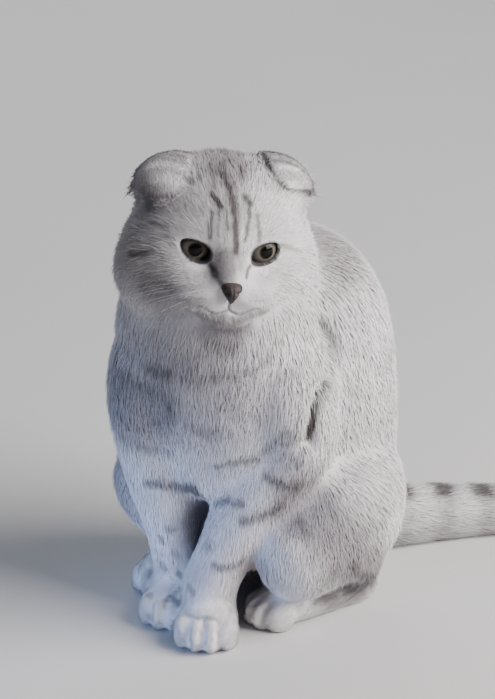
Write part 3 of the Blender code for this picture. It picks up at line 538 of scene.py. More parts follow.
def torso_forms(mesh):
    """The trunk: the back and flanks down to the rump, and the chest and ruff turned to the left."""
    loft(mesh, TRUNK_STATIONS, around=40)
    loft(mesh, CHEST_STATIONS, around=40)


def heel_of(x, y, turn):
    """Where a hind foot's heel is over the floor, behind its paw."""
    return Vector((x, y, 0)) + Matrix.Rotation(math.radians(turn), 3, "Z") @ Vector((0, FOOT_LENGTH, 0))


def haunch_forms(mesh, name, side):
    """A folded hind leg: the broad thigh, the shank back to the hock, and the foot on the floor."""
    x, y, turn = HINDPAWS[name]
    heel = heel_of(x, y, turn)
    out, lift, knee = HAUNCHES[name]
    thigh = (
        (side * 0.036, 0.045, 0.085 + lift, 0.036, 0.048 + lift, 0),
        (side * (out - 0.010), 0.022, 0.078 + lift, 0.040, 0.056 + lift, 0),
        (side * out, -0.008, 0.070 + lift, 0.036, 0.049 + lift, 0),
        (side * knee[0], knee[1], knee[2], 0.029, knee[3], 0),
    )
    shank = (
        (side * 0.064, -0.022, 0.058, 0.024, 0.026, 0),
        (side * 0.066, 0.008, 0.042, 0.022, 0.026, 0),
        (heel.x, heel.y - 0.006, 0.021, 0.017, 0.020, 0),
    )
    foot = (
        (heel.x, heel.y, 0.014, 0.014, 0.015, 0),
        ((heel.x + x) / 2, (heel.y + y) / 2, 0.013, 0.0155, 0.015, 0),
        (x, y, 0.013, 0.0175, 0.0155, 0),
    )
    for stations in (thigh, shank, foot):
        loft(mesh, stations)
    paw_forms(mesh, x, y, turn, HINDPAW_SCALE)


def foreleg_forms(mesh, name, side):
    """A straight foreleg, from the shoulder down to the paw."""
    x, y, turn = FOREPAWS[name]
    chest = Matrix.Rotation(math.radians(CHEST_TURN), 3, "Z")

    def beside(out, forward):
        point = CHEST_MIDDLE + chest @ Vector((side * out, -forward, 0))
        return point.x, point.y

    elbow = beside(0.046, -0.004)
    below = Vector(elbow).lerp(Vector((x, y)), 0.46)
    low = Vector(elbow).lerp(Vector((x, y)), 0.80)
    stations = (
        (*beside(0.040, 0.000), 0.200, 0.030, 0.042, CHEST_TURN),
        (*beside(0.047, 0.002), 0.165, 0.030, 0.040, CHEST_TURN),
        (*elbow, 0.128, 0.029, 0.035, CHEST_TURN),
        (*below, 0.092, 0.0265, 0.028, CHEST_TURN),
        (*low, 0.058, 0.0200, 0.0215, CHEST_TURN),
        (x, y, 0.034, 0.0190, 0.0195, turn),
        (x, y - 0.003, 0.014, 0.0185, 0.0190, turn),
    )
    loft(mesh, stations)
    paw_forms(mesh, x, y, turn, 1.0)


def paw_place(x, y, turn, scale):
    """The matrix from a paw's own axes, its toes along -Y, to its place on the floor."""
    place = Matrix.Translation((x, y, 0)) @ Matrix.Rotation(math.radians(turn), 4, "Z")
    return place @ Matrix.Scale(scale, 4)


def paw_forms(mesh, x, y, turn, scale):
    """A round paw with four toes, its wrist over (x, y)."""
    place = paw_place(x, y, turn, scale)
    ellipsoid(mesh, (0, -0.010, 0.0150), (0.0205, 0.0230, 0.0165), 0, place)
    for out, ahead in TOES:
        ellipsoid(mesh, (out, -ahead, 0.0105), (0.0066, 0.0125, 0.0120), -out * 700, place)


def ellipsoid_field(points, centre, radii):
    """About how far each point is outside an ellipsoid; less than 0 inside it."""
    offset = points - np.array(centre)
    near_share = np.linalg.norm(offset / np.array(radii), axis=1)
    steep = np.linalg.norm(offset / np.array(radii) ** 2, axis=1)
    return near_share * (near_share - 1) / np.maximum(steep, 1e-9)


def blend(one, other, width):
    """Joins two forms with a fillet about as wide as given."""
    share = np.clip(0.5 + 0.5 * (other - one) / width, 0, 1)
    return other * (1 - share) + one * share - width * share * (1 - share)


def both_sides(points, centre, radii):
    """A pair of ellipsoids, one on each side of the head's middle."""
    mirrored = np.column_stack((np.abs(points[:, 0]), points[:, 1:]))
    return ellipsoid_field(mirrored, centre, radii)


def bridge_field(points):
    """The nose bridge: a round bar from the forehead down to the nose, thinner at the nose."""
    start, end = np.array(BRIDGE)
    along = end - start
    share = np.clip((points - start) @ along / (along @ along), 0, 1)
    nearest = start + share[:, None] * along
    offset = (points - nearest) * np.array((0.82, 1, 1))
    return np.linalg.norm(offset, axis=1) - (0.0120 - 0.0035 * share)


def head_field(points):
    """How far each point is outside the head, in the head's own axes."""
    head = ellipsoid_field(points, *SKULL)
    for centre, radii, width in HEAD_FORMS.values():
        head = blend(head, both_sides(points, centre, radii), width)
    head = blend(head, bridge_field(points), 0.008)
    muzzle = blend(both_sides(points, *PADS), ellipsoid_field(points, *CHIN), 0.006)
    head = blend(head, muzzle, 0.009)
    lids = both_sides(points, (EYE_SPACING, EYE_DEPTH, 0), (EYE_RADIUS + LID_THICK,) * 3)
    return blend(head, lids, 0.004)


def head_forms(mesh):
    """The head as one surface: along each ray from its middle, the first place inside the field."""
    place = head_place()
    start = len(mesh.verts)
    bmesh.ops.create_icosphere(mesh, subdivisions=6, radius=1)
    mesh.verts.ensure_lookup_table()
    made = mesh.verts[start:]
    rays = np.array([vertex.co[:] for vertex in made])
    rays = rays / np.linalg.norm(rays, axis=1)[:, None]
    middle = np.array(RAY_START)
    steps = np.linspace(*RAY_REACH, RAY_STEPS)
    reach = np.full(len(rays), steps[-1])
    found = np.zeros(len(rays), dtype=bool)
    before = head_field(middle + rays * steps[0])
    for outer, inner in zip(steps, steps[1:]):
        here = head_field(middle + rays * inner)
        crossing = (here <= 0) & ~found
        share = before / np.maximum(before - here, 1e-9)
        reach[crossing] = (outer + (inner - outer) * share)[crossing]
        found |= crossing
        before = here
    for vertex, ray, distance in zip(made, rays, reach):
        vertex.co = place @ Vector(middle + ray * distance)


def ear_axes(side):
    """An ear's own directions in the head's axes, for its left-hand form."""
    along = Vector((0.80, 0.30, -0.52)).normalized()
    up = Vector((0.55, 0.05, 0.83))
    up = (up - along * up.dot(along)).normalized()
    turned = Matrix.Rotation(math.radians(EAR_SPIN[side]), 3, up)
    along = turned @ along
    return along, up, along.cross(up)


def ear_rows(side):
    """The rows of one ear; the flap of the right ear hangs further down the forehead."""
    rows = []
    for i, (ahead, rise, width, bow) in enumerate(EAR_PROFILE):
        longer = FLAP_LONGER[side] * max(0, i - 2) / 3
        rows.append((ahead + 0.55 * longer, rise - 0.84 * longer, width + 0.45 * longer - EAR_TRIM, bow))
    return rows


def ear_sheet(side):
    """A folded ear: up from the skull, over in a round fold, and down again in front as a flap."""
    along, up, forward = ear_axes(side)
    rows = smooth_rows(ear_rows(side), EAR_STEPS)
    mesh = bmesh.new()
    grid = []
    for i, (ahead, rise, width, bow) in enumerate(rows):
        after = rows[min(i + 1, len(rows) - 1)]
        before = rows[max(i - 1, 0)]
        step = Vector((after[0] - before[0], after[1] - before[1])).normalized()
        inward = forward * step.y - up * step.x
        line = []
        for j in range(EAR_COLUMNS + 1):
            out = 2 * j / EAR_COLUMNS - 1
            spot = EAR_ROOT + forward * ahead + up * rise + along * width * out
            spot = spot + inward * bow * out**2
            line.append(mesh.verts.new((side * spot.x, spot.y, spot.z)))
        grid.append(line)
    for lower, upper in zip(grid, grid[1:]):
        for j in range(EAR_COLUMNS):
            mesh.faces.new((lower[j], lower[j + 1], upper[j + 1], upper[j]))
    mesh.transform(head_place())
    return mesh


# Meshes and their arrays


def apply_modifiers(obj):
    bpy.context.view_layer.update()
    graph = bpy.context.evaluated_depsgraph_get()
    made = bpy.data.meshes.new_from_object(obj.evaluated_get(graph))
    obj.modifiers.clear()
    obj.data = made


def show(name, data):
    obj = bpy.data.objects.new(name, data)
    bpy.context.scene.collection.objects.link(obj)
    return obj


def object_of(name, mesh):
    data = bpy.data.meshes.new(name)
    mesh.to_mesh(data)
    mesh.free()
    return show(name, data)


def shade_smooth(data):
    data.polygons.foreach_set("use_smooth", np.ones(len(data.polygons), dtype=bool))


def smooth_object(name, mesh):
    """An object whose faces are shaded smooth."""
    obj = object_of(name, mesh)
    shade_smooth(obj.data)
    return obj


def mesh_of(name, points, faces):
    """A mesh from an array of points and an array of triangles."""
    data = bpy.data.meshes.new(name)
    data.vertices.add(len(points))
    data.vertices.foreach_set("co", points.astype(np.float32).ravel())
    data.loops.add(faces.size)
    data.loops.foreach_set("vertex_index", faces.astype(np.int32).ravel())
    data.polygons.add(len(faces))
    data.polygons.foreach_set("loop_start", np.arange(0, faces.size, 3, dtype=np.int32))
    data.update(calc_edges=True)
    return data


def points_of(data, what="co"):
    values = np.empty(len(data.vertices) * 3, np.float32)
    data.vertices.foreach_get(what, values)
    return values.reshape(-1, 3).astype(float)


def set_points(data, points):
    data.vertices.foreach_set("co", points.astype(np.float32).ravel())
    data.update()


def set_colours(data, colours):
    """Stores the coat's colour at each point of a mesh."""
    layer = data.attributes.new("coat_colour", "FLOAT_COLOR", "POINT")
    values = np.column_stack((colours, np.ones(len(colours))))
    layer.data.foreach_set("color", values.astype(np.float32).ravel())


def unit(vectors):
    return vectors / np.maximum(np.linalg.norm(vectors, axis=1), 1e-9)[:, None]


def to_head(points):
    """Points in the head's own axes."""
    matrix = np.array(head_place().inverted())
    return points @ matrix[:3, :3].T + matrix[:3, 3]


def near(points, centre, radius):
    """1 at the centre, falling smoothly to 0 past the radius."""
    return np.exp(-((np.linalg.norm(points - np.array(centre), axis=1) / radius) ** 4))


def ramp(values, start, width):
    """0 up to the start, then rising to 1 over the width; a width below 0 rises the other way."""
    return np.clip((values - start) / width, 0, 1)


def mix(one, other, share):
    """Blends one array of vectors into another by a share at each point."""
    share = share[:, None]
    return one * (1 - share) + other * share


def toe_middles():
    middles = []
    for x, y, turn in (*FOREPAWS.values(), *HINDPAWS.values()):
        ahead = Matrix.Rotation(math.radians(turn), 3, "Z") @ Vector((0, -0.020, 0.008))
        middles.append((ahead + Vector((x, y, 0)), ahead.normalized()))
    return middles


def toe_gaps():
    """The lines between each paw's toes, from the top of the paw down to the floor."""
    lines = []
    for scale, paws in ((1.0, FOREPAWS), (HINDPAW_SCALE, HINDPAWS)):
        for x, y, turn in paws.values():
            place = paw_place(x, y, turn, scale)
            for out in (-TOE_APART, 0.0, TOE_APART):
                end = 0.0035 * abs(out) / TOE_APART
                line = (
                    (out * 0.86, -0.0300, 0.0225),
                    (out, -0.0380 + end, 0.0200),
                    (out * 1.06, -0.0425 + end, 0.0115),
                    (out * 1.06, -0.0420 + end, 0.0010),
                )
                lines.append([tuple(place @ Vector(spot)) for spot in line])
    return lines


def paw_share(points, radius):
    return np.max([near(points, middle, radius) for middle, _ in toe_middles()], axis=0)


def distance_to_line(points, line):
    """Distance from each point to a line of several points, and how far along it the nearest is."""
    best = np.full(len(points), 1e9)
    where = np.zeros(len(points))
    spots = np.array(line, float)
    for i in range(len(spots) - 1):
        along = spots[i + 1] - spots[i]
        share = np.clip((points - spots[i]) @ along / max(along @ along, 1e-12), 0, 1)
        away = np.linalg.norm(points - spots[i] - share[:, None] * along, axis=1)
        closer = away < best
        best[closer] = away[closer]
        where[closer] = (i + share)[closer]
    return best, where


def ripple(points, size, seed):
    """A smooth uneven pattern between about -1 and 1, with features of about the given size."""
    draw = np.random.default_rng(seed)
    total = np.zeros(len(points))
    for _ in range(7):
        way = unit(draw.normal(size=(1, 3)))[0]
        wave = size * draw.uniform(0.7, 1.5)
        total += np.sin(points @ way * (2 * math.pi / wave) + draw.uniform(0, 6.3))
    return total / 3.2


# The skin


def fused_skin():
    """Every form of flesh as one smooth closed surface."""
    mesh = bmesh.new()
    torso_forms(mesh)
    loft(mesh, TAIL_STATIONS, around=20)
    head_forms(mesh)
    for name, side in SIDES:
        haunch_forms(mesh, name, side)
        foreleg_forms(mesh, name, side)
        ear = object_of("ear_sheet", ear_sheet(side))
        solid = ear.modifiers.new("Solid", "SOLIDIFY")
        solid.thickness = EAR_THICK
        solid.offset = 0
        apply_modifiers(ear)
        mesh.from_mesh(ear.data)
        bpy.data.objects.remove(ear)
    skin = object_of("skin", mesh)
    remesh = skin.modifiers.new("Fuse", "REMESH")
    remesh.mode = "VOXEL"
    remesh.voxel_size = SKIN_VOXEL
    apply_modifiers(skin)
    smooth_skin(skin)
    press_creases(skin)
    refine_face(skin)
    return skin


def smooth_skin(skin):
    """Evens the surface out, lightly on all but the ears, and fully where face, paws and ears aren't."""
    points = points_of(skin.data)
    ears = ear_share(points)
    keep = FACE_KEEP * near(to_head(points), FACE_MIDDLE, 0.041)
    broad = (1 - paw_share(points, 0.028)) * (1 - keep) * (1 - ears)
    for name, rounds, weights in (("light", LIGHT_ROUNDS, 1 - 0.88 * ears), ("full", FULL_ROUNDS, broad)):
        group = skin.vertex_groups.new(name=name)
        for index, weight in enumerate(weights.tolist()):
            group.add([index], weight, "REPLACE")
        smooth = skin.modifiers.new(name, "SMOOTH")
        smooth.factor = 0.5
        smooth.iterations = rounds
        smooth.vertex_group = name
    apply_modifiers(skin)


def press_creases(skin):
    """Presses long soft hollows into the surface along lines of points."""
    points = points_of(skin.data)
    normals = points_of(skin.data, "normal")
    hollows = []
    for width, depth, *line in CREASES.values():
        hollows.append((width / 1000, depth / 1000, np.array(line) / 1000))
    hollows += [(*TOE_GAP, line) for line in toe_gaps()]
    for width, depth, line in hollows:
        away = distance_to_line(points, line)[0]
        points -= normals * (depth * np.exp(-((away / width) ** 2)))[:, None]
    set_points(skin.data, points)


EAR_CLOUD = {}


def ear_distance(points):
    """How far each point is from the middle surface of the nearer ear."""
    if not EAR_CLOUD:
        spots = []
        for _, side in SIDES:
            sheet = ear_sheet(side)
            spots.extend(face.calc_center_median() for face in sheet.faces)
            sheet.free()
        tree = KDTree(len(spots))
        for i, spot in enumerate(spots):
            tree.insert(spot, i)
        tree.balance()
        EAR_CLOUD["tree"] = tree
    away = np.full(len(points), 1.0)
    own = to_head(points)
    maybe = np.nonzero((own[:, 2] > 0.005) & (np.abs(own[:, 0]) < 0.085))[0]
    for i in maybe:
        away[i] = EAR_CLOUD["tree"].find(points[i])[2]
    return away


def ear_ahead(own, side):
    """How far each point is in front of an ear's root, along the ear's own direction."""
    root = np.array((side * EAR_ROOT.x, EAR_ROOT.y, EAR_ROOT.z))
    _, _, forward = ear_axes(side)
    return (own - root) @ np.array((side * forward.x, forward.y, forward.z))


def ear_share(points):
    """1 on an ear's own sheet, 0 a little away from it."""
    own = to_head(points)
    flap = np.zeros(len(points))
    for _, side in SIDES:
        flap = np.maximum(flap, ramp(ear_ahead(own, side), 0.006, 0.004) * (own[:, 0] * side > 0.012))
    rise = np.maximum(ramp(own[:, 2], 0.030, 0.006), flap)
    return ramp(ear_distance(points), 0.0040, -0.0018) * rise


def refine_face(skin):
    """Cuts the faces of the front of the head finer, twice around eyes, nose and mouth."""
    mesh = bmesh.new()
    mesh.from_mesh(skin.data)
    inverse = head_place().inverted()
    for middle, reach in FINE_PLACES:
        chosen = set()
        for face in mesh.faces:
            spot = inverse @ face.calc_center_median()
            if spot.y < -0.022 and (spot - middle).length < reach:
                chosen.update(face.edges)
        bmesh.ops.subdivide_edges(mesh, edges=list(chosen), cuts=1, smooth=0.6, use_grid_fill=True)
    bmesh.ops.triangulate(mesh, faces=mesh.faces)
    mesh.to_mesh(skin.data)
    mesh.free()


def almond(side, count=96):
    """The outline between the lids, in the eye's own axes: points of (across, up)."""
    outline = []
    for i in range(count):
        angle = 2 * math.pi * i / count
        across = math.cos(angle)
        height = LID_RISE if math.sin(angle) > 0 else LID_DROP
        rise = height * math.copysign(abs(math.sin(angle)) ** 0.85, math.sin(angle))
        outline.append((side * EYE_WIDTH / 2 * across, rise + LID_SLANT * EYE_WIDTH / 2 * across))
    return np.array(outline)


def eye_place(side):
    """The matrix from an eye's own axes, looking along -Y, to where the eye is."""
    centre = Matrix.Translation((side * EYE_SPACING, EYE_DEPTH, 0))
    return head_place() @ centre @ Matrix.Rotation(side * EYE_TURN_OUT, 4, "Z")


def in_front_of_eye(points, side, behind, reach):
    """Which points are near an eye and in front of it, and where in its own axes."""
    place = np.array(eye_place(side))
    spots = (points - place[:3, 3]) @ place[:3, :3]
    close = np.nonzero((spots[:, 1] < behind) & (np.linalg.norm(spots, axis=1) < reach))[0]
    return close, spots[close]


def almond_distance(flat, side):
    """Distance from points of (across, up) to the lids' outline, less than 0 inside, and the nearest."""
    outline = almond(side)
    closed = np.vstack((outline, outline[:1]))
    best = np.full(len(flat), 1e9)
    spot = np.zeros_like(flat)
    inside = np.zeros(len(flat), dtype=bool)
    for start, end in zip(closed, closed[1:]):
        along = end - start
        share = np.clip((flat - start) @ along / (along @ along), 0, 1)
        nearest = start + share[:, None] * along
        away = np.linalg.norm(flat - nearest, axis=1)
        closer = away < best
        best[closer] = away[closer]
        spot[closer] = nearest[closer]
        crosses = (start[1] > flat[:, 1]) != (end[1] > flat[:, 1])
        level = (flat[:, 1] - start[1]) / (end[1] - start[1] if end[1] != start[1] else 1e-9)
        inside ^= crosses & (flat[:, 0] < start[0] + level * along[0])
    return np.where(inside, -best, best), spot


def open_lids(points):
    """Shapes the lids: the skin turns in at the outline and hides behind the eyeball inside it."""
    for _, side in SIDES:
        close, spots = in_front_of_eye(points, side, 0.002, 0.021)
        away, nearest = almond_distance(spots[:, [0, 2]], side)
        rim = np.abs(away) < LID_EDGE
        flat = spots[:, [0, 2]]
        flat[rim] = nearest[rim]
        least = EYE_RADIUS + 0.0005 + 0.0006 * np.clip(away / 0.003, 0, 1)
        reach = np.maximum(np.linalg.norm(spots, axis=1), least)
        reach[rim] = EYE_RADIUS + 0.00025
        reach[away <= -LID_EDGE] = EYE_RADIUS - 0.0016
        deep = np.sqrt(np.maximum(reach**2 - (flat**2).sum(axis=1), 0))
        moved = np.column_stack((flat[:, 0], -deep, flat[:, 1]))
        use = (away < 0.0030) & (spots[:, 1] < 0)
        spots[use] = moved[use]
        place = np.array(eye_place(side))
        points[close] = spots @ place[:3, :3].T + place[:3, 3]
    return points


def mouth_lines():
    """The groove below the nose and the two lip lines, in the head's axes."""
    lines = [[(0.0, -0.0600, -0.0265), (0.0, -0.0588, -0.0310), (0.0, -0.0575, MOUTH_HEIGHT)]]
    for _, side in SIDES:
        line = []
        for i in range(9):
            share = i / 8
            drop = 0.0036 * math.sin(math.pi * min(share * 1.25, 1)) - 0.0012 * share
            deep = -0.0575 + 0.0135 * share**2
            line.append((side * 0.0202 * share, deep, MOUTH_HEIGHT - drop))
        lines.append(line)
    return lines


def mouth_distance(own):
    """Distance to the mouth's lines, measured as seen from the front."""
    front = own[:, 1] < -0.034
    away = np.full(len(own), 1.0)
    for line in mouth_lines():
        flat = [(x, z) for x, _, z in line]
        here = distance_to_line(own[front][:, [0, 2]], flat)[0]
        away[front] = np.minimum(away[front], here)
    return away


def region_shares(points, ears):
    """How much each point belongs to each of the coat's regions."""
    own = to_head(points)
    tail = distance_to_line(points, TAIL_LINE[1:])[0]
    front = ramp(points[:, 1], -0.020, -0.030)
    low = ramp(points[:, 2], 0.040, -0.015)
    shares = {
        "ear": ears,
        "snout": near(own, (0, -0.054, -0.022), 0.024),
        "face": near(own, (0, -0.046, -0.002), 0.046),
        "head": near(own, (0, 0.000, 0.008), 0.064),
        "paw": paw_share(points, 0.033),
        "tail": ramp(tail, 0.034, -0.008) * ramp(points[:, 1], 0.082, 0.012),
        "leg": ramp(points[:, 2], 0.150, -0.060) * np.maximum(front, low),
    }
    left = np.ones(len(points))
    made = {}
    for name, share in shares.items():
        made[name] = share * left
        left = left * (1 - share)
    made["body"] = left
    return made


def by_region(shares, table, column=None):
    """The table's value at each point, mixed by how much the point belongs to each region."""
    if column is None:
        return sum(share * table[name] for name, share in shares.items())
    return sum(share * table[name][column] for name, share in shares.items())


def neighbours(data):
    pairs = np.empty(len(data.edges) * 2, np.int32)
    data.edges.foreach_get("vertices", pairs)
    return pairs.reshape(-1, 2)


def spread(values, pairs, rounds):
    """Evens out an array of vectors over a mesh's edges."""
    count = len(values)
    degree = np.bincount(pairs.ravel(), minlength=count)[:, None]
    for _ in range(rounds):
        total = np.zeros_like(values)
        for k in range(values.shape[1]):
            total[:, k] = np.bincount(pairs[:, 0], values[pairs[:, 1], k], count)
            total[:, k] += np.bincount(pairs[:, 1], values[pairs[:, 0], k], count)
        values = 0.5 * values + 0.5 * total / np.maximum(degree, 1)
    return values


def body_lie(points):
    """The way the coat lies down the body, back over the haunches, and out to toes and tail tip."""
    flow = np.tile(np.array((0.0, 0.28, -1.0)), (len(points), 1))
    flow = mix(flow, np.array((0.0, -0.05, -1.0)), ramp(points[:, 1], -0.030, -0.03))
    haunch = ramp(points[:, 2], 0.130, -0.04) * ramp(np.abs(points[:, 0]), 0.045, 0.02)
    haunch = haunch * ramp(points[:, 1], -0.045, 0.02)
    flow = mix(flow, np.array((0.0, 0.45, -0.9)), haunch)
    for middle, ahead in toe_middles():
        flow = mix(flow, np.array(ahead) + np.array((0, 0, -0.35)), near(points, middle, 0.034))
    low = ramp(points[:, 2], 0.030, -0.012)
    for x, y, turn in HINDPAWS.values():
        heel = heel_of(x, y, turn) + Vector((0, 0, 0.014))
        away = distance_to_line(points, [heel, (x, y, 0.014)])[0]
        ahead = unit(np.array([(x - heel.x, y - heel.y, -0.004)]))[0]
        flow = mix(flow, ahead, ramp(away, 0.030, -0.010) * low)
    away, where = distance_to_line(points, TAIL_LINE)
    index = np.clip(where.astype(int), 0, len(TAIL_LINE) - 2)
    along = unit(TAIL_LINE[1:] - TAIL_LINE[:-1])[index]
    return mix(flow, along, ramp(away, 0.036, -0.008) * ramp(points[:, 1], 0.074, 0.012))


def head_lie(own):
    """The way the coat lies on the head, in its axes: from the nose outward and back, round the eyes."""
    from_nose = unit(own - np.array((0, -0.066, -0.018)))
    flow = from_nose + np.array((0, 0.55, 0.10))
    under_chin = from_nose * 0.7 + np.array((0, 0.25, -0.75))
    flow = mix(flow, under_chin, ramp(own[:, 2], -0.030, -0.012))
    for _, side in SIDES:
        to_eye = np.array((side * EYE_SPACING, EYE_DEPTH - EYE_RADIUS, 0)) - own
        gap = np.linalg.norm(to_eye, axis=1)
        to_eye = to_eye / np.maximum(gap, 1e-6)[:, None]
        toward = np.maximum((flow * to_eye).sum(axis=1), 0)
        share = ramp(gap, 0.022, -0.008)
        flow = flow - to_eye * (toward * share)[:, None] - to_eye * (0.35 * share)[:, None]
    return flow


def lie_of_coat(points, normals, ears, pairs):
    """The way the coat lies at each point, flat along the skin."""
    own = to_head(points)
    turn = np.array(head_place())[:3, :3]
    flow = mix(body_lie(points), head_lie(own) @ turn.T, near(own, (0, -0.004, 0.004), 0.068))
    for _, side in SIDES:
        _, up, forward = (np.array((side * v.x, v.y, v.z)) for v in ear_axes(side))
        lift = 1 - 1.9 * ramp(ear_ahead(own, side), -0.001, 0.018)
        own_way = forward + lift[:, None] * up
        flow = mix(flow, own_way @ turn.T, ears * (own[:, 0] * side > 0))
    flow = unit(flow)
    for _ in range(3):
        flow = spread(flow, pairs, 4)
        flow = flow - normals * (flow * normals).sum(axis=1)[:, None]
        flow = unit(flow)
    return flow


# Markings, and painted shade and light on the coat


def tail_marks(points):
    """Rings round the tail, and a row of dark spots along the top of it."""
    away, where = distance_to_line(points, TAIL_LINE)
    lengths = np.concatenate(((0,), np.cumsum(np.linalg.norm(np.diff(TAIL_LINE, axis=0), axis=1))))
    order = np.arange(len(TAIL_LINE))
    along = np.interp(where, order, lengths) + 0.0025 * ripple(points, 0.020, 5)
    middle = np.interp(where, order, TAIL_LINE[:, 2])
    top = np.clip((points[:, 2] - middle) / np.maximum(away, 1e-6), -1, 1)
    wave = np.sin(along * 2 * math.pi / RING_SPACING)
    ring = np.clip(wave * 1.8 - 0.35, 0, 1)
    spots = np.clip(wave * 2.2 + 0.5, 0, 1) * ramp(top, 0.62, 0.25)
    share = ramp(away, 0.036, -0.006) * ramp(points[:, 1], 0.080, 0.02)
    return np.maximum(spots * 0.90, ring * 0.30) * share


def line_shares(base, lines, wobble, edge):
    """How much each point lies on any of the lines, from 0 to each line's strength."""
    most = np.zeros(len(base))
    here = base * 1000
    for width, strength, *line in lines.values():
        low = np.min(line, axis=0) - 3 * width - 3
        high = np.max(line, axis=0) + 3 * width + 3
        inside = np.nonzero(((here > low) & (here < high)).all(axis=1))[0]
        if len(inside):
            away = distance_to_line(here[inside], line)[0] + width * WAVER * wobble[inside]
            share = strength * np.clip(edge - away / width, 0, 1) ** 1.2
            most[inside] = np.maximum(most[inside], share)
    return most


def markings(points):
    """How dark the coat's markings and its painted shade are at each point, from 0 to 1."""
    own = to_head(points)
    wobble = ripple(points, WAVER_SIZE, 3)
    dark = line_shares(points, BODY_MARKINGS_AND_PAINTED_SHADE, BODY_WAVER * wobble, BODY_EDGE)
    on_head = np.nonzero(np.linalg.norm(own, axis=1) < 0.085)[0]
    head = line_shares(own[on_head], HEAD_MARKINGS_AND_PAINTED_SHADE, wobble[on_head], HEAD_EDGE)
    dark[on_head] = np.maximum(dark[on_head], head)
    dark = np.maximum(dark, tail_marks(points))
    # Painted shade in the gaps between the toes
    low = np.nonzero(points[:, 2] < 0.032)[0]
    for line in toe_gaps():
        away = distance_to_line(points[low], line)[0]
        dark[low] = np.maximum(dark[low], TOE_GAP_PAINTED_SHADE * np.clip(1.3 - away / 0.0015, 0, 1))
    dark = np.maximum(dark, LIP_DARK * np.clip(1 - mouth_distance(own) / 0.0014, 0, 1))
    for _, side in SIDES:
        close, spots = in_front_of_eye(points, side, 0, NEAR_EYE)
        away = almond_distance(spots[:, [0, 2]], side)[0]
        inner = np.clip(-side * spots[:, 0] / 0.009, 0, 1)
        above = np.clip(spots[:, 2] / 0.005, 0, 1)
        line = np.clip(1.6 - away / (0.0006 + 0.0010 * inner + 0.0005 * above), 0, 1)
        dark[close] = np.maximum(dark[close], line)
    return dark


def coat_colour(points):
    """The coat's colour at each point: markings, the silver's own unevenness, and painted shade and light,
    together.
    """
    own = to_head(points)
    cloud = 0.5 + 0.5 * ripple(points, 0.034, 8)
    fine = 0.5 + 0.5 * ripple(points, 0.011, 9)
    shade = 0.06 + 0.16 * cloud + 0.14 * fine
    # Broad greys, partly the coat's own and mostly painted shade, with painted light on the flank
    for base, tones in ((own, HEAD_GREYS_AND_PAINTED_SHADE), (points, BODY_GREYS_AND_PAINTED_SHADE)):
        for middle, reach, amount in tones:
            shade = shade + amount * near(base, np.array(middle) / 1000, reach / 1000)
    shade = shade + EAR_TONE * ramp(ear_distance(points), 0.0050, -0.0022)
    white = np.maximum(0.5 * near(own, (0, -0.055, -0.030), 0.016), paw_share(points, 0.027))
    shade = shade * (1 - 0.8 * white)
    wobble = ripple(points, WAVER_SIZE, 4)
    # Paler lines of fur, and painted highlights on the ears' ridges and flaps
    shade = shade - line_shares(own, HEAD_PALE_LINES_AND_HIGHLIGHTS, wobble, HEAD_EDGE)
    shade = shade - line_shares(points, BODY_LIGHTS, wobble, BODY_EDGE)
    shade = np.clip(shade, -0.15, 1)
    colour = SILVER + (GREY - SILVER) * shade[:, None]
    dark = np.clip(markings(points), 0, 1)[:, None]
    return colour * (1 - dark) + DARK * dark


def finish_skin(skin):
    """Draws the skin in by the coat's depth, opens the lids, and gives it its colour and unwrap."""
    data = skin.data
    points = points_of(data)
    normals = points_of(data, "normal")
    depth = by_region(region_shares(points, ear_share(points)), DEPTHS)
    depth = spread(depth[:, None], neighbours(data), 6)[:, 0]
    tint = coat_colour(points)
    floor = ramp(points[:, 2], 0.010, -0.008)
    points = points - normals * (depth * (1 - 0.7 * floor))[:, None]
    points = open_lids(points)
    groove = np.exp(-((mouth_distance(to_head(points)) / 0.0010) ** 2)) * 0.0013
    turn = np.array(head_place())[:3, :3]
    points = points + (groove[:, None] * np.array((0, 1.0, 0))) @ turn.T
    points[:, 2] = np.maximum(points[:, 2], 0.0008)
    set_points(data, points)
    set_colours(data, tint * SKIN_TONE)
    shade_smooth(data)
    unwrap(skin)


def unwrap(skin):
    bpy.context.view_layer.objects.active = skin
    skin.select_set(True)
    bpy.ops.object.mode_set(mode="EDIT")
    bpy.ops.mesh.select_all(action="SELECT")
    bpy.ops.uv.smart_project(angle_limit=math.radians(66), island_margin=0.002)
    bpy.ops.object.mode_set(mode="OBJECT")
    skin.data.uv_layers[0].name = "OFBake"


# The coat


def skin_arrays(skin):
    """What the tufts need to know of the skin, as arrays over its points and triangles."""
    data = skin.data
    points = points_of(data)
    normals = points_of(data, "normal")
    ears = ear_share(points)
    faces = np.empty(len(data.loops), np.int32)
    data.loops.foreach_get("vertex_index", faces)
    places = np.empty(len(data.loops) * 2, np.float32)
    data.uv_layers[0].uv.foreach_get("vector", places)
    return {
        "points": points,
        "normals": normals,
        "flow": lie_of_coat(points, normals, ears, neighbours(data)),
        "shares": region_shares(points, ears),
        "faces": faces.reshape(-1, 3),
        "places": places.reshape(-1, 3, 2),
    }


